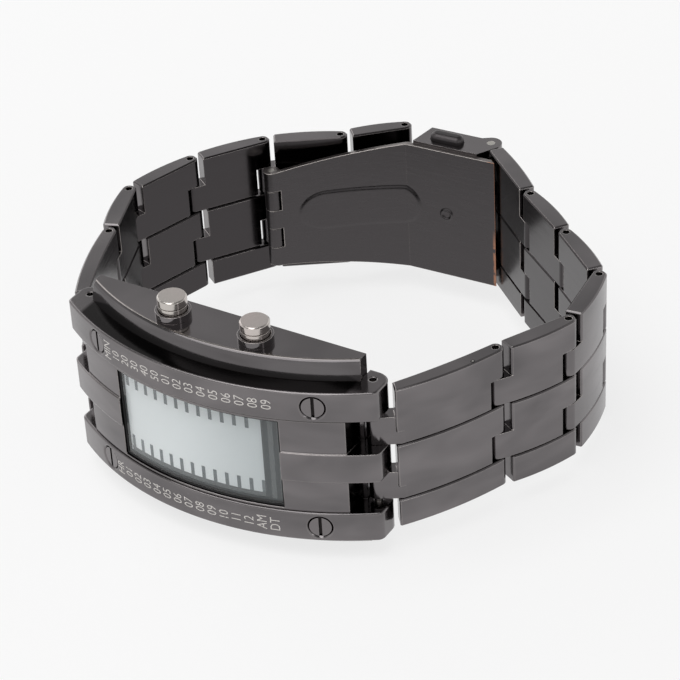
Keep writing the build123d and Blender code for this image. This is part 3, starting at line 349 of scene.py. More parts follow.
def blade_form(name, middle, half, rise, finish):
    """A form on the wrist side of the blade, of a rise that is a function of two offsets.

    Middle is its place along the clasp and its height, and half is its half length and half
    height. Each point is the blade pin + along x the clasp's way + outward x the way turned left.
    """
    columns, rows = (np.linspace(-edge, edge, number) for edge, number in zip(half, FORM_GRID))
    across, up = np.meshgrid(columns, rows, indexing="ij")
    along = middle[0] + across
    outward = blade_level(along) - rise(across, up) + SUNK
    x = BLADE_PIN[0] + along * CLASP_WAY[0] - outward * CLASP_WAY[1]
    y = BLADE_PIN[1] + along * CLASP_WAY[1] + outward * CLASP_WAY[0]
    shape = np.stack([x, y, middle[1] + up], axis=-1)
    made = place_mesh(name, shape, grid_faces(*FORM_GRID), finish, "inner_blade", smooth=True)


# Nodes

# Sockets of a Mix node for colours, by number because other kinds of mix use their names
SHARE, FIRST, SECOND, MIXED = 0, 6, 7, 2


def add(tree, kind, sockets=None, **settings):
    """Add a shader node with its settings, and link or set its sockets.

    A node that is given for a socket stands for its own first output.
    """
    node = tree.nodes.new(kind)
    for name, value in settings.items():
        setattr(node, name, value)
    for name, value in (sockets or {}).items():
        if isinstance(value, bpy.types.Node):
            value = value.outputs[0]
        if isinstance(value, bpy.types.NodeSocket):
            tree.links.new(value, node.inputs[name])
        else:
            node.inputs[name].default_value = value
    return node


def start(name):
    """An empty node material with its tree and object coordinates."""
    made = bpy.data.materials.new(name)
    made.use_nodes = True
    tree = made.node_tree
    tree.nodes.clear()
    return made, tree, add(tree, "ShaderNodeTexCoord").outputs["Object"]


def per_mm(count):
    """Texture scale, in waves to a metre, for a number of waves to a millimetre."""
    return count / MM


def overlaid(tree, place, tone, layers):
    """A tone with layers over it, each a second tone and a function that gives its share."""
    for second, share in layers:
        sockets = {SHARE: share(tree, place), FIRST: tone, SECOND: second}
        tone = add(tree, "ShaderNodeMix", sockets, data_type="RGBA").outputs[MIXED]
    return tone


# Shares of a layer, worked out from the place and the normal


def level_offset(tree, place, x, y):
    """Offset of a place from an upright axis, without its height."""
    offset = add(tree, "ShaderNodeVectorMath", {0: place, 1: (x, y, 0.0)}, operation="SUBTRACT")
    return add(tree, "ShaderNodeVectorMath", {0: offset, 1: (1.0, 1.0, 0.0)}, operation="MULTIPLY")


def shaded_deeper_than(floor):
    """A share of painted shade that is 1 where the case lies deeper behind the rails' front than a
    floor.

    Depth is the rails' radius less the distance from the axis of the front's arcs. The share
    is 0 beyond the ledge's ends.
    """
    floor_fade, end_fade = 0.1 * MM, 0.6 * MM

    def share(tree, place):
        sizes = bpy.context.scene.watch_sizes
        offset = level_offset(tree, place, 0.0, sizes.arc_centre)
        reach = add(tree, "ShaderNodeVectorMath", {0: offset}, operation="LENGTH").outputs["Value"]
        edge = sizes.rail_radius - floor
        deep = add(
            tree, "ShaderNodeMapRange",
            {"Value": reach, "From Min": edge, "From Max": edge - floor_fade},
        )
        across = add(tree, "ShaderNodeSeparateXYZ", {"Vector": place}).outputs["X"]
        off = add(tree, "ShaderNodeMath", {0: across}, operation="ABSOLUTE")
        inside = add(
            tree, "ShaderNodeMapRange",
            {"Value": off, "From Min": sizes.ledge_end, "From Max": sizes.ledge_end - end_fade},
        )
        return add(tree, "ShaderNodeMath", {0: deep, 1: inside}, operation="MULTIPLY")

    return share


def shaded_facing_wrist(tree, place):
    """Share of painted shade on the wrist side: rises to 1 where the normal points at the middle of the
    bracelet's loop.
    """
    sizes = bpy.context.scene.watch_sizes
    offset = level_offset(tree, place, sizes.loop_x, sizes.loop_y)
    away = add(tree, "ShaderNodeVectorMath", {0: offset}, operation="NORMALIZE")
    normal = add(tree, "ShaderNodeTexCoord").outputs["Normal"]
    side = add(tree, "ShaderNodeVectorMath", {0: normal, 1: away}, operation="DOT_PRODUCT")
    return add(
        tree, "ShaderNodeMapRange",
        {"Value": side.outputs["Value"], "From Min": -0.3, "From Max": -0.6},
    )


def on_sheared_edge(tree, place):
    """Share of painted highlight: rises to 0.3 where the normal points up or down, on the strip's narrow
    edges.
    """
    normal = add(tree, "ShaderNodeTexCoord").outputs["Normal"]
    rise = add(tree, "ShaderNodeSeparateXYZ", {"Vector": normal}).outputs["Z"]
    steep = add(tree, "ShaderNodeMath", {0: rise}, operation="ABSOLUTE")
    return add(
        tree, "ShaderNodeMapRange", {"Value": steep, "From Min": 0.6, "From Max": 0.9, "To Max": 0.3}
    )


def along_clasp(tree, place, first, last):
    """Rises from 0 to 1 between two places along the clasp."""
    way = (*CLASP_WAY, 0.0)
    along = add(tree, "ShaderNodeVectorMath", {0: place, 1: way}, operation="DOT_PRODUCT")
    zero = BLADE_PIN @ CLASP_WAY
    return add(
        tree, "ShaderNodeMapRange",
        {"Value": along.outputs["Value"], "From Min": zero + first, "From Max": zero + last},
    )


def at_worn_end(tree, place):
    """Rises to 1 near the free end of the inner blade."""
    sizes = bpy.context.scene.watch_sizes
    return along_clasp(tree, place, sizes.copper_start, sizes.copper_start + sizes.copper_fade)


def in_rubbed_patches(tree, place):
    """Patches of up to 0.7 in a band along the lower half of the blade's free end."""
    sizes = bpy.context.scene.watch_sizes
    band_fade = 0.2 * MM
    first = BLADE_END - sizes.copper_band
    band = along_clasp(tree, place, first, first + band_fade)
    height = add(tree, "ShaderNodeSeparateXYZ", {"Vector": place}).outputs["Z"]
    low = add(
        tree, "ShaderNodeMapRange",
        {"Value": height, "From Min": sizes.copper_top, "From Max": sizes.copper_full},
    )
    spots = add(tree, "ShaderNodeTexNoise", {"Vector": place, "Scale": per_mm(0.8), "Detail": 3.0})
    rubbed = add(
        tree, "ShaderNodeMapRange", {"Value": spots, "From Min": 0.38, "From Max": 0.5, "To Max": 0.7}
    )
    near = add(tree, "ShaderNodeMath", {0: band, 1: low}, operation="MULTIPLY")
    return add(tree, "ShaderNodeMath", {0: near, 1: rubbed}, operation="MULTIPLY")


def at_dim_end(tree, place):
    """Share of painted shade: rises smoothly to 1 towards the right end of the panel."""
    sizes = bpy.context.scene.watch_sizes
    across = add(tree, "ShaderNodeSeparateXYZ", {"Vector": place}).outputs["X"]
    return add(
        tree, "ShaderNodeMapRange",
        {"Value": across, "From Min": sizes.panel_bright, "From Max": sizes.panel_dim},
        interpolation_type="SMOOTHSTEP",
    )


def when_seen(tree):
    """1 for rays from the camera, a mirror or glass, otherwise 0."""
    ray = add(tree, "ShaderNodeLightPath").outputs
    either = add(
        tree, "ShaderNodeMath", {0: ray["Is Camera Ray"], 1: ray["Is Glossy Ray"]}, operation="MAXIMUM"
    )
    return add(tree, "ShaderNodeMath", {0: either, 1: ray["Is Transmission Ray"]}, operation="MAXIMUM")


# Finishes

# Ends of the range that the values of a noise mostly fill
NOISE_LOW, NOISE_HIGH = 0.3, 0.7
# Cosines of the turn between the flat and the rounded normal where an edge starts and is full
EDGE_START, EDGE_FULL = 0.995, 0.8
# How far a metal's roughness goes up and down in its grain
POLISH_SPREAD = 0.05


def metal(
    name, base, light, polish, grain, drawn=(1.0, 1.0, 1.0), edge=0.05, highlight_share=0.4, over=(), over_edge=()
):
    """Metal with soft drifts of tone, a fine grain in its polish, and a painted highlight on edges.

    Polish is its middle roughness. The grain is noise with a number of waves to a millimetre,
    drawn out along the axes with a small factor. Edge is the radius of the rounding, in
    millimetres. The share of the pale edge tone, a painted highlight, is 0 on a flat and rises
    to highlight_share where the rounded normal leaves the flat one. Over and over_edge are
    layers on the body and on the highlight tone.
    """
    made, tree, place = start(name)
    broad = add(tree, "ShaderNodeMapping", {"Vector": place, "Scale": (0.4, 0.4, 1.0)})
    drift = add(
        tree, "ShaderNodeTexNoise",
        {"Vector": broad, "Scale": per_mm(0.2), "Detail": 2.0, "Distortion": 0.4},
    )
    wide = add(
        tree, "ShaderNodeMapRange", {"Value": drift, "From Min": NOISE_LOW, "From Max": NOISE_HIGH}
    )
    pulled = add(tree, "ShaderNodeMapping", {"Vector": place, "Scale": drawn})
    fine = add(
        tree, "ShaderNodeTexNoise",
        {"Vector": pulled, "Scale": per_mm(grain), "Detail": 4.0, "Roughness": 0.6},
    )
    rounded = add(tree, "ShaderNodeBevel", {"Radius": edge * MM}, samples=8)
    flat = add(tree, "ShaderNodeNewGeometry").outputs["Normal"]
    turn = add(tree, "ShaderNodeVectorMath", {0: rounded, 1: flat}, operation="DOT_PRODUCT")
    share = add(
        tree, "ShaderNodeMapRange",
        {"Value": turn.outputs["Value"], "From Min": EDGE_START, "From Max": EDGE_FULL, "To Max": highlight_share},
    )
    body = add(tree, "ShaderNodeMix", {SHARE: wide, FIRST: base, SECOND: light}, data_type="RGBA")
    middle = overlaid(tree, place, body.outputs[MIXED], over)
    # The pale edge tone is a painted highlight, with the over_edge layers on it
    worn = overlaid(tree, place, bpy.context.scene.watch_colours.painted_edge_highlight, over_edge)
    tone = add(tree, "ShaderNodeMix", {SHARE: share, FIRST: middle, SECOND: worn}, data_type="RGBA")
    low, high = polish - POLISH_SPREAD, polish + POLISH_SPREAD
    gloss = add(
        tree, "ShaderNodeMapRange",
        {"Value": fine, "From Min": NOISE_LOW, "From Max": NOISE_HIGH, "To Min": low, "To Max": high},
    )
    wave = add(
        tree, "ShaderNodeBump",
        {"Height": drift, "Strength": 0.5, "Distance": 0.03 * MM, "Normal": rounded},
    )
    lines = add(
        tree, "ShaderNodeBump",
        {"Height": fine, "Strength": 0.05, "Distance": 0.01 * MM, "Normal": wave},
    )
    shader = add(
        tree, "ShaderNodeBsdfPrincipled",
        {"Base Color": tone.outputs[MIXED], "Metallic": 1.0, "Roughness": gloss, "Normal": lines},
    )
    add(tree, "ShaderNodeOutputMaterial", {"Surface": shader})
    return made


def matt(name, base, second, grain, roughness, depth, over=()):
    """A matt moulded or printed stuff: two near tones in a fine grain with a slight relief.

    The grain has a number of waves to a millimetre, and the relief a depth in millimetres.
    """
    made, tree, place = start(name)
    noise = add(tree, "ShaderNodeTexNoise", {"Vector": place, "Scale": per_mm(grain), "Detail": 3.0})
    body = add(tree, "ShaderNodeMix", {SHARE: noise, FIRST: base, SECOND: second}, data_type="RGBA")
    tone = overlaid(tree, place, body.outputs[MIXED], over)
    relief = add(tree, "ShaderNodeBump", {"Height": noise, "Strength": 0.3, "Distance": depth * MM})
    shader = add(
        tree, "ShaderNodeBsdfPrincipled",
        {"Base Color": tone, "Roughness": roughness, "Normal": relief},
    )
    add(tree, "ShaderNodeOutputMaterial", {"Surface": shader})
    return made


def mineral_glass(colours):
    """Mineral glass, ground and polished: clear, with sharp reflections and hardly a shadow."""
    made, tree, place = start("mineral_glass")
    haze = add(tree, "ShaderNodeTexNoise", {"Vector": place, "Scale": per_mm(0.4), "Detail": 2.0})
    smear = add(tree, "ShaderNodeMapRange", {"Value": haze, "To Max": 0.05})
    shader = add(
        tree, "ShaderNodeBsdfPrincipled",
        {"Base Color": colours.glass, "Roughness": smear, "IOR": 1.5, "Transmission Weight": 1.0},
    )
    shadow = add(tree, "ShaderNodeLightPath").outputs["Is Shadow Ray"]
    clear = add(tree, "ShaderNodeBsdfTransparent", {"Color": colours.glass_shadow})
    mix = add(tree, "ShaderNodeMixShader", {0: shadow, 1: shader, 2: clear})
    add(tree, "ShaderNodeOutputMaterial", {"Surface": mix})
    return made


def dress(finish, *names):
    """Give CAD nodes a finish."""
    for name in names:
        mesh = frame["nodes"][name].data
        mesh.materials.clear()
        mesh.materials.append(finish)


def both_sides(kind, count):
    """Names of the pieces of a kind on the left and the right side of the bracelet."""
    return [f"{side}_{kind}_{number}" for side in ("left", "right") for number in range(1, count + 1)]


# Operators


class WATCH_OT_case(Operator):
    """Plate the case, its rails, display frame and tubes, and slope the block's front"""

    bl_idname = "watch.case"
    bl_label = "Case"

    def execute(self, context):
        colours = context.scene.watch_colours
        sizes = context.scene.watch_sizes
        plating = (colours.plating, colours.plating_light)
        # Dark chrome on mirror-buffed stainless steel: a deep clear mirror with soft drifts,
        # its edges painted pale as a highlight on the tubes and nearly sharp on the block
        buffed = metal("buffed_dark_chrome", *plating, 0.12, 5, edge=0.1, highlight_share=0.8)
        dress(buffed, "pusher_tubes")
        block = metal("buffed_dark_chrome_block", *plating, 0.12, 5, edge=0.03)
        dress(block, "case_middle")
        # The same on the rails, its edges painted pale as a wide faint highlight; the ledge behind
        # their front is darkened with painted shade
        ledge = (colours.painted_shade, shaded_deeper_than(sizes.ledge_floor))
        rails = metal("buffed_dark_chrome_rails", *plating, 0.13, 5, edge=0.3, highlight_share=0.25, over=(ledge,))
        dress(rails, "upper_rail", "lower_rail", "display_frame")
        # The block's sloped front: a deep mirror of the plating darkened with painted shade, its edges
        # painted pale as a highlight
        deep = metal("mirror_dark_chrome_painted_shade", colours.blade, colours.plating, 0.1, 5, edge=0.1, highlight_share=0.8)
        low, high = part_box("case_middle")
        gap = 0.03 * MM
        upper_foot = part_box("upper_rail")[1].z + gap
        lower_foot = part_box("lower_rail")[0].z - gap
        self.slope(sizes, "upper_slope", high.z, high.z - sizes.block_chamfer, upper_foot, deep)
        self.slope(sizes, "lower_slope", low.z, low.z + sizes.block_chamfer, lower_foot, deep)
        # The same plating on a brushed back: the sheen is spread by fine straight lines
        brushed = metal(
            "brushed_dark_chrome", colours.blade, colours.plating, 0.34, 8, drawn=(1.0, 0.02, 0.02)
        )
        dress(brushed, "case_back")
        return {"FINISHED"}

    def slope(self, sizes, name, top, edge, foot, finish):
        """A closed bar bent round the block's front, from its chamfer to a rail.

        Its section goes from the chamfer's top to its edge and on out to the foot, where
        out = flare x t^0.6 with t from 0 at the edge to 1 at the foot, and back in the wall.
        """
        proud, sunk = 0.01 * MM, 0.05 * MM
        t = np.linspace(0.0, 1.0, 9)
        front = proud + sizes.block_flare * t**0.6
        outward = np.concatenate([[-sizes.block_chamfer], front, [-sunk, -sunk]])
        height = np.concatenate([[top], edge + t * (foot - edge), [foot, edge]])
        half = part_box("case_middle")[1].x - proud
        end = sizes.block_radius * math.asin(half / sizes.block_radius)
        along = np.linspace(-end, end, 97)
        shape = on_arc(along[:, None], outward, height, sizes.block_radius)
        faces = bar_faces(len(along), len(outward))
        if top > foot:
            # The upper section runs the other way round, so its faces are turned
            faces = [face[::-1] for face in faces]
        made = place_mesh(name, shape, faces, finish, "case")


class WATCH_OT_links(Operator):
    """Plate the twelve links of the bracelet"""

    bl_idname = "watch.links"
    bl_label = "Links"

    def execute(self, context):
        colours = context.scene.watch_colours
        # Dark chrome on tumbled and buffed steel links: faint lines run round the bracelet, the
        # edges are painted pale as a highlight, and the wrist side is darkened with painted shade
        tumbled = metal(
            "tumbled_dark_chrome", colours.plating, colours.plating_light, 0.17, 4,
            drawn=(0.02, 0.02, 1.0), edge=0.13, highlight_share=0.8, over=((colours.wrist_shade_and_button, shaded_facing_wrist),),
        )
        dress(tumbled, *both_sides("link", 6))
        return {"FINISHED"}


class WATCH_OT_pins(Operator):
    """Finish screws, pins and retaining rings"""

    bl_idname = "watch.pins"
    bl_label = "Screws and pins"

    def execute(self, context):
        colours = context.scene.watch_colours
        sizes = context.scene.watch_sizes
        head = (colours.screw, colours.plating_light, 0.18, 9)
        # Plated screw steel: bright flat heads with pale rims painted as a highlight
        dress(metal("plated_screw_steel", *head), "back_screws")
        # The same on the front, its slots darkened with painted shade
        slot = (colours.painted_shade, shaded_deeper_than(sizes.slot_floor))
        dress(metal("plated_slotted_screw_steel", *head, over=(slot,)), "rail_screws")
        # Ground stainless rod: bare and pale with a slight haze
        bare = metal("ground_pin_steel", colours.bare_steel, colours.cell, 0.3, 9)
        dress(bare, *both_sides("pin", 5))
        dress(bare, "case_pins", "blade_pin", "box_spring_bar", "box_pin_ends", "fold_pin")
        dress(bare, "pusher_clip_left", "pusher_clip_right")
        # A disc of painted shade round the pin's end, where the drilled hole swallows the light
        dark = metal("painted_hole_shade", colours.painted_shade, colours.wrist_shade_and_button, 0.3, 9)
        hole = self.dome(sizes, "plate_pin_hole", sizes.plate_hole, sizes.hole_rise, dark)
        end = self.dome(sizes, "plate_pin_end", sizes.plate_pin, sizes.pin_rise, bare)
        return {"FINISHED"}

    def dome(self, sizes, name, radius, rise, finish):
        """A low dome on the upper side of the first right link, at the end of its pin.

        It stands rise x (1 - share^2) high, with the share of its radius on each ring.
        """
        share = np.array([1.0, 0.7, 0.3])
        rings = len(share)
        turn = np.linspace(0, 2 * np.pi, 24, endpoint=False)[:, None]
        x = sizes.plate_pin_x + radius * share * np.cos(turn)
        y = sizes.plate_pin_y + radius * share * np.sin(turn)
        link_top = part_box("right_link_1")[1].z
        height = np.broadcast_to(link_top + rise * (1 - share**2), x.shape)
        faces = grid_faces(len(turn), rings, closed_rows=True)
        faces.append(list(range(rings - 1, rings * len(turn), rings)))
        shape = np.stack([x, y, height], axis=-1)
        return place_mesh(name, shape, faces, finish, "right_link_1", smooth=True)


class WATCH_OT_pushers(Operator):
    """Finish the two pushers and the two push buttons of the clasp"""

    bl_idname = "watch.pushers"
    bl_label = "Pushers and buttons"

    def execute(self, context):
        colours = context.scene.watch_colours
        # Turned nickel-plated steel: paler than the case, with a clean mirror on its round side
        turned = metal("turned_nickel_steel", colours.pusher, colours.cell, 0.16, 9, edge=0.1)
        dress(turned, "pusher_left", "pusher_right")
        # Pressed and plated button steel: dark and satin, its edges rounded, with a painted highlight on
        # them
        button = metal("plated_button_steel", colours.wrist_shade_and_button, colours.blade, 0.4, 5, edge=0.1)
        dress(button, "upper_button", "lower_button")
        return {"FINISHED"}


class WATCH_OT_clasp(Operator):
    """Finish the blades and box, and press the oval field and the dimple into the blade"""

    bl_idname = "watch.clasp"
    bl_label = "Clasp"

    def execute(self, context):
        colours = context.scene.watch_colours
        sizes = context.scene.watch_sizes
        strip = (colours.blade, colours.blade, 0.3, 7, (0.05, 0.05, 1.0))
        # Dark chrome on rolled strip: a satin sheen, edges painted bright as a highlight, and copper at
        # the worn end
        satin = metal(
            "satin_dark_chrome", *strip, edge=0.16, highlight_share=1.0,
            over=((colours.painted_edge_highlight, on_sheared_edge), (colours.copper, in_rubbed_patches)),
            over_edge=((colours.copper, at_worn_end),),
        )
        dress(satin, "inner_blade")
        # The outer blade is the same strip, with a fainter painted highlight on its edges
        dress(metal("satin_dark_chrome_faint_edge_highlight", *strip, edge=0.09), "outer_blade")
        # Dark chrome on the folded box: as the links, a little softer
        folded = metal("folded_dark_chrome", colours.plating, colours.plating_light, 0.2, 5)
        dress(folded, "clasp_box")

        def oval(across, up):
            """A low table of height rise / (1 + e^(gap / side)) with a rounded oblong as its rim.

            The gap is the distance outside that rim.
            """
            past = np.maximum(np.abs(across) - sizes.oval_straight, 0.0)
            gap = np.hypot(past, up) - sizes.oval_radius
            return sizes.oval_rise / (1 + np.exp(gap / sizes.oval_side))

        def dimple(across, up):
            """A round ridge of height rise x e^-(gap / width)^2, with the gap to its circle."""
            gap = np.hypot(across, up) - sizes.dimple_radius
            return sizes.dimple_rise * np.exp(-((gap / sizes.dimple_width) ** 2))

        middle = (sizes.oval_along, sizes.oval_height)
        reach = sizes.oval_radius + sizes.oval_margin
        blade_form("blade_oval", middle, (sizes.oval_straight + reach, reach), oval, satin)
        middle = (sizes.dimple_along, sizes.dimple_height)
        reach = sizes.dimple_radius + sizes.dimple_margin
        blade_form("blade_dimple", middle, (reach, reach), dimple, satin)
        return {"FINISHED"}


class WATCH_OT_display(Operator):
    """Finish the glass, film and panel, and lay the segments on the panel"""

    bl_idname = "watch.display"
    bl_label = "Display"

    def execute(self, context):
        colours = context.scene.watch_colours
        sizes = context.scene.watch_sizes
        dress(mineral_glass(colours), "display_glass")
        # Screen-printed film: dark ink with a faint grain and a slight gloss
        film = matt("printed_film", colours.film, colours.film_grain, 3.0, 0.35, 0.01)
        dress(film, "display_mask")
        # Polariser over a grey reflector: pale and matt, darkened to the right with painted shade
        dim = (colours.panel_end, at_dim_end)
        panel = matt("grey_polariser", colours.panel, colours.panel_grain, 0.12, 0.5, 0.005, over=(dim,))
        dress(panel, "lcd_panel")
        # Liquid crystal that is on: a soft dark grey, not black
        ink = matt("liquid_crystal", colours.segment, colours.segment_grain, 1.5, 0.5, 0.005)
        low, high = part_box("display_mask")
        top = high.z - sizes.film_border
        self.segments(sizes, "upper_segments", sizes.upper_count, top - sizes.upper_segment, top, ink)
        field = low.z + sizes.film_border
        foot = field + sizes.lower_border
        head = foot + sizes.lower_segment
        self.segments(sizes, "lower_segments", sizes.lower_count, foot, head, ink)
        # Dark print below the lower segments: a strip bent on the panel's arc
        ends = np.array([low.x + sizes.border_inset, high.x - sizes.border_inset])
        along = np.linspace(*(sizes.panel_radius * np.arcsin(ends / sizes.panel_radius)), 49)
        height = np.array([field, foot])
        shape = on_arc(along[:, None], sizes.border_rise, height, sizes.panel_radius)
        faces = grid_faces(len(along), len(height))
        made = place_mesh("lower_print", shape, faces, film, "case", smooth=True)
        return {"FINISHED"}

    def segments(self, sizes, name, count, bottom, top, finish):
        """A row of blocks bent on the panel's arc, the eight corners of each from three signs."""
        signs = np.array([(i, j, k) for i in (-1, 1) for j in (0, 1) for k in (0, 1)])
        sides = ((2, 3, 1, 0), (5, 7, 6, 4), (1, 5, 4, 0), (6, 7, 3, 2), (4, 6, 2, 0), (3, 7, 5, 1))
        middle = sizes.segment_start + np.arange(count) * sizes.segment_pitch
        along = middle[:, None] + signs[:, 0] * sizes.segment_width / 2
        outward = signs[:, 1] * sizes.segment_rise
        height = bottom + signs[:, 2] * (top - bottom)
        shape = on_arc(along, outward, height, sizes.panel_radius)
        faces = [[len(signs) * n + corner for corner in side] for n in range(count) for side in sides]
        made = place_mesh(name, shape, faces, finish, "case")


class WATCH_OT_scales(Operator):
    """Fill the engraved minute and hour scales of the rails with paint"""

    bl_idname = "watch.scales"
    bl_label = "Scales"

    def execute(self, context):
        colours = context.scene.watch_colours
        sizes = context.scene.watch_sizes
        # Enamel wiped into the engraving: chalky and slightly uneven
        paint = matt("wiped_enamel", colours.enamel, colours.enamel_grain, 2.0, 0.55, 0.01)
        numbers = [f"{number:02d}" for number in range(1, 13)]
        minutes = ["MIN", "10", "20", "30", "40", "50"] + numbers[:9]
        hours = ["HR"] + numbers + ["AM", "DT"]
        for name, words, middle in (
            ("minute_scale", minutes, sizes.upper_scale),
            ("hour_scale", hours, sizes.lower_scale),
        ):
            points, owner, faces = lettering(words, sizes.letter_height, sizes.paint)
            # The words read upwards: their width runs up the rail and their tops point left
            along = sizes.scale_start + owner * sizes.scale_pitch - points[:, 1]
            height = middle + sizes.letter_width * points[:, 0]
            shape = on_arc(along, points[:, 2], height, sizes.rail_radius)
            place_mesh(name, shape, faces, paint, "case")
        return {"FINISHED"}


class WATCH_OT_springs(Operator):
    """Wind the coil springs of the pushers and buttons"""

    bl_idname = "watch.springs"
    bl_label = "Springs"

    def execute(self, context):
        colours = context.scene.watch_colours
        sizes = context.scene.watch_sizes
        # Drawn music wire: bright with a faint haze
        finish = metal("drawn_spring_wire", colours.bare_steel, colours.cell, 0.28, 9)
        pitch = 3 * sizes.wire
        for joint in frame["joints"]:
            for held in joint.get("deforming_nodes", ()):
                node = held["node"]
                low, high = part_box(node)
                tall = high.z - low.z
                turns = max(sizes.coils, round(tall / pitch))
                mean = (high.x - low.x - sizes.wire) / 2
                shape, faces = coil(low.z, high.z, turns, sizes.wire, mean)
                shape += ((low.x + high.x) / 2, (low.y + high.y) / 2, 0.0)
                made = place_mesh(node + "_coil", shape, faces, finish, joint["parent"], smooth=True)
                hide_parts(node)
                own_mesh(made)
        return {"FINISHED"}


class WATCH_OT_works(Operator):
    """Finish the seals, board, cell and the parts beside them"""

    bl_idname = "watch.works"
    bl_label = "Works"

    def execute(self, context):
        colours = context.scene.watch_colours
        # Moulded nitrile: near black, without shine
        rubber = matt("moulded_nitrile", colours.rubber, colours.rubber_grain, 4.0, 0.8, 0.02)
        dress(rubber, "glass_gasket", "back_gasket", "pusher_seal_left", "pusher_seal_right")
        # Striped silicone: dark carbon in pink rubber, in a grain coarse enough to show
        striped = matt("striped_silicone", colours.carbon, colours.silicone, 6.0, 0.6, 0.01)
        dress(striped, "connector_strips")
        # Solder resist over glass cloth: green with a slight unevenness and some gloss
        resist = matt("solder_resist", colours.board, colours.board_grain, 1.2, 0.35, 0.01)
        dress(resist, "circuit_board")
        # Nickel on a pressed cell can: pale and softly reflecting
        can = metal("nickel_plated_can", colours.cell, colours.bare_steel, 0.25, 6)
        dress(can, "battery")
        # Rolled spring steel strip: bare and pale, a little duller than the can
        strip = metal("rolled_spring_steel", colours.bare_steel, colours.cell, 0.3, 6)
        dress(strip, "battery_clip")
        return {"FINISHED"}


# Camera, fitted to the photograph: the point it looks at and its distance from there, its
# turn round the object, its height above the level and its roll, and the lens and sensor
TARGET = Vector((4.27, 20.49, 14.8)) * MM
DISTANCE = 0.3596
AROUND, ABOVE, ROLL = (math.radians(degrees) for degrees in (32.85, 34.08, -3.394))
LENS, SENSOR = 137.58, 36.0
# Soft lamps: name, place from the target, width, height and power
LAMPS = (
    ("overhead", (-0.1, -0.22, 0.7), 0.7, 0.6, 3.4),
    ("left_panel", (-0.55, 0.3, 0.36), 0.3, 0.4, 0.5),
    ("right_strip", (0.55, -0.15, 0.4), 0.08, 0.4, 0.16),
)
WHITE = (1.0, 1.0, 1.0, 1.0)
# Brightness of the stage where it isn't seen but only lights the object
UNSEEN = 0.75


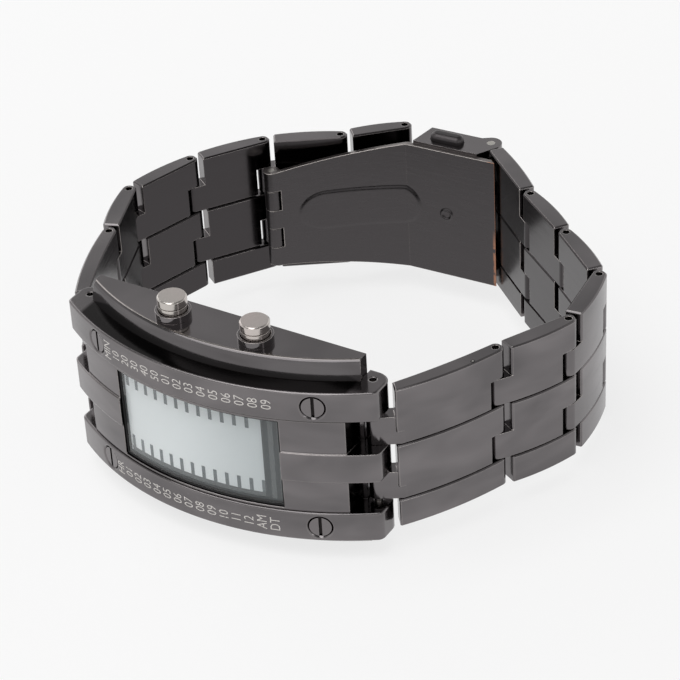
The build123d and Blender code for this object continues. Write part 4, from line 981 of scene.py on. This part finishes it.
class WATCH_OT_stage(Operator):
    """Set the pale floor, the soft lamps, the white surroundings and the camera"""

    bl_idname = "watch.stage"
    bl_label = "Stage"

    def execute(self, context):
        scene = context.scene
        scene.view_settings.view_transform = "Standard"
        self.floor(scene)
        self.surroundings(scene)
        self.lamps(scene)
        self.camera(scene)
        return {"FINISHED"}

    def floor(self, scene):
        """A level sheet just below the object."""
        # Matt white paper, lifted towards white where it is seen or mirrored, most far away
        made, tree, place = start("white_paper")
        paper = add(
            tree, "ShaderNodeBsdfPrincipled",
            {"Base Color": scene.watch_colours.paper, "Roughness": 0.9},
        )
        glow = add(tree, "ShaderNodeEmission", {"Color": WHITE, "Strength": 1.0})
        reach = add(tree, "ShaderNodeVectorMath", {0: place}, operation="LENGTH").outputs["Value"]
        far = add(
            tree, "ShaderNodeMapRange",
            {"Value": reach, "From Min": 0.08, "From Max": 0.5, "To Min": 0.75, "To Max": 1.0},
        )
        part = add(tree, "ShaderNodeMath", {0: when_seen(tree), 1: far}, operation="MULTIPLY")
        mix = add(tree, "ShaderNodeMixShader", {0: part, 1: paper, 2: glow})
        add(tree, "ShaderNodeOutputMaterial", {"Surface": mix})
        half, drop = 2.0, -0.02 * MM
        corners = [(-half, -half, drop), (half, -half, drop), (half, half, drop), (-half, half, drop)]
        mesh = bpy.data.meshes.new("floor")
        mesh.from_pydata(corners, [], [(0, 1, 2, 3)])
        mesh.materials.append(made)
        floor = bpy.data.objects.new("floor", mesh)
        scene.collection.objects.link(floor)

    def surroundings(self, scene):
        """A studio that is white round the horizon and dim above it, where the lamps are."""
        world = bpy.data.worlds.new("studio")
        world.use_nodes = True
        tree = world.node_tree
        tree.nodes.clear()
        way = add(tree, "ShaderNodeTexCoord").outputs["Generated"]
        rise = add(tree, "ShaderNodeSeparateXYZ", {"Vector": way}).outputs["Z"]
        dim = add(
            tree, "ShaderNodeMapRange",
            {"Value": rise, "From Min": 0.3, "From Max": 0.8, "To Min": 1.0, "To Max": 0.2},
            interpolation_type="SMOOTHSTEP",
        )
        level = add(tree, "ShaderNodeMapRange", {"Value": when_seen(tree), "To Min": UNSEEN})
        strength = add(tree, "ShaderNodeMath", {0: dim, 1: level}, operation="MULTIPLY")
        back = add(tree, "ShaderNodeBackground", {"Color": WHITE, "Strength": strength})
        add(tree, "ShaderNodeOutputWorld", {"Surface": back})
        scene.world = world

    def lamps(self, scene):
        """Soft oblong lamps, each turned to the target."""
        for name, place, wide, tall, power in LAMPS:
            light = bpy.data.lights.new(name, "AREA")
            light.shape = "RECTANGLE"
            light.size = wide
            light.size_y = tall
            light.energy = power
            lamp = bpy.data.objects.new(name, light)
            lamp.location = TARGET + Vector(place)
            lamp.rotation_mode = "QUATERNION"
            lamp.rotation_quaternion = Vector(place).to_track_quat("Z", "Y")
            scene.collection.objects.link(lamp)

    def camera(self, scene):
        """The photograph's camera, with its slight roll."""
        level = math.cos(ABOVE)
        back = Vector((math.sin(AROUND) * level, -math.cos(AROUND) * level, math.sin(ABOVE)))
        right = Vector((math.cos(AROUND), math.sin(AROUND), 0.0))
        across = math.cos(ROLL) * right + math.sin(ROLL) * back.cross(right)
        turned = Matrix((across, back.cross(across), back)).transposed().to_4x4()
        data = bpy.data.cameras.new("camera")
        data.sensor_width = SENSOR
        data.lens = LENS
        data.clip_start = 0.01
        camera = bpy.data.objects.new("camera", data)
        camera.matrix_world = Matrix.Translation(TARGET + back * DISTANCE) @ turned
        scene.collection.objects.link(camera)
        scene.camera = camera


OPERATORS = (
    WATCH_OT_case,
    WATCH_OT_links,
    WATCH_OT_pins,
    WATCH_OT_pushers,
    WATCH_OT_clasp,
    WATCH_OT_display,
    WATCH_OT_scales,
    WATCH_OT_springs,
    WATCH_OT_works,
    WATCH_OT_stage,
)


class WATCH_PT_panel(Panel):
    """Steps and settings of the watch"""

    bl_idname = "WATCH_PT_panel"
    bl_label = "Binary watch"
    bl_space_type = "VIEW_3D"
    bl_region_type = "UI"
    bl_category = "Watch"

    def draw(self, context):
        for step in OPERATORS:
            self.layout.operator(step.bl_idname)
        for group in (context.scene.watch_colours, context.scene.watch_sizes):
            for name in group.__annotations__:
                self.layout.prop(group, name)


CLASSES = (WatchColours, WatchSizes, *OPERATORS, WATCH_PT_panel)


def register():
    """Make the classes known to Blender."""
    for kind in CLASSES:
        bpy.utils.register_class(kind)
    bpy.types.Scene.watch_colours = PointerProperty(type=WatchColours)
    bpy.types.Scene.watch_sizes = PointerProperty(type=WatchSizes)


def unregister():
    """Take the classes out again."""
    del bpy.types.Scene.watch_sizes
    del bpy.types.Scene.watch_colours
    for kind in reversed(CLASSES):
        bpy.utils.unregister_class(kind)


def main():
    """Make every piece in order."""
    register()
    bpy.ops.watch.case()
    bpy.ops.watch.links()
    bpy.ops.watch.pins()
    bpy.ops.watch.pushers()
    bpy.ops.watch.clasp()
    bpy.ops.watch.display()
    bpy.ops.watch.scales()
    bpy.ops.watch.springs()
    bpy.ops.watch.works()
    bpy.ops.watch.stage()


if __name__ == "__main__":
    main()
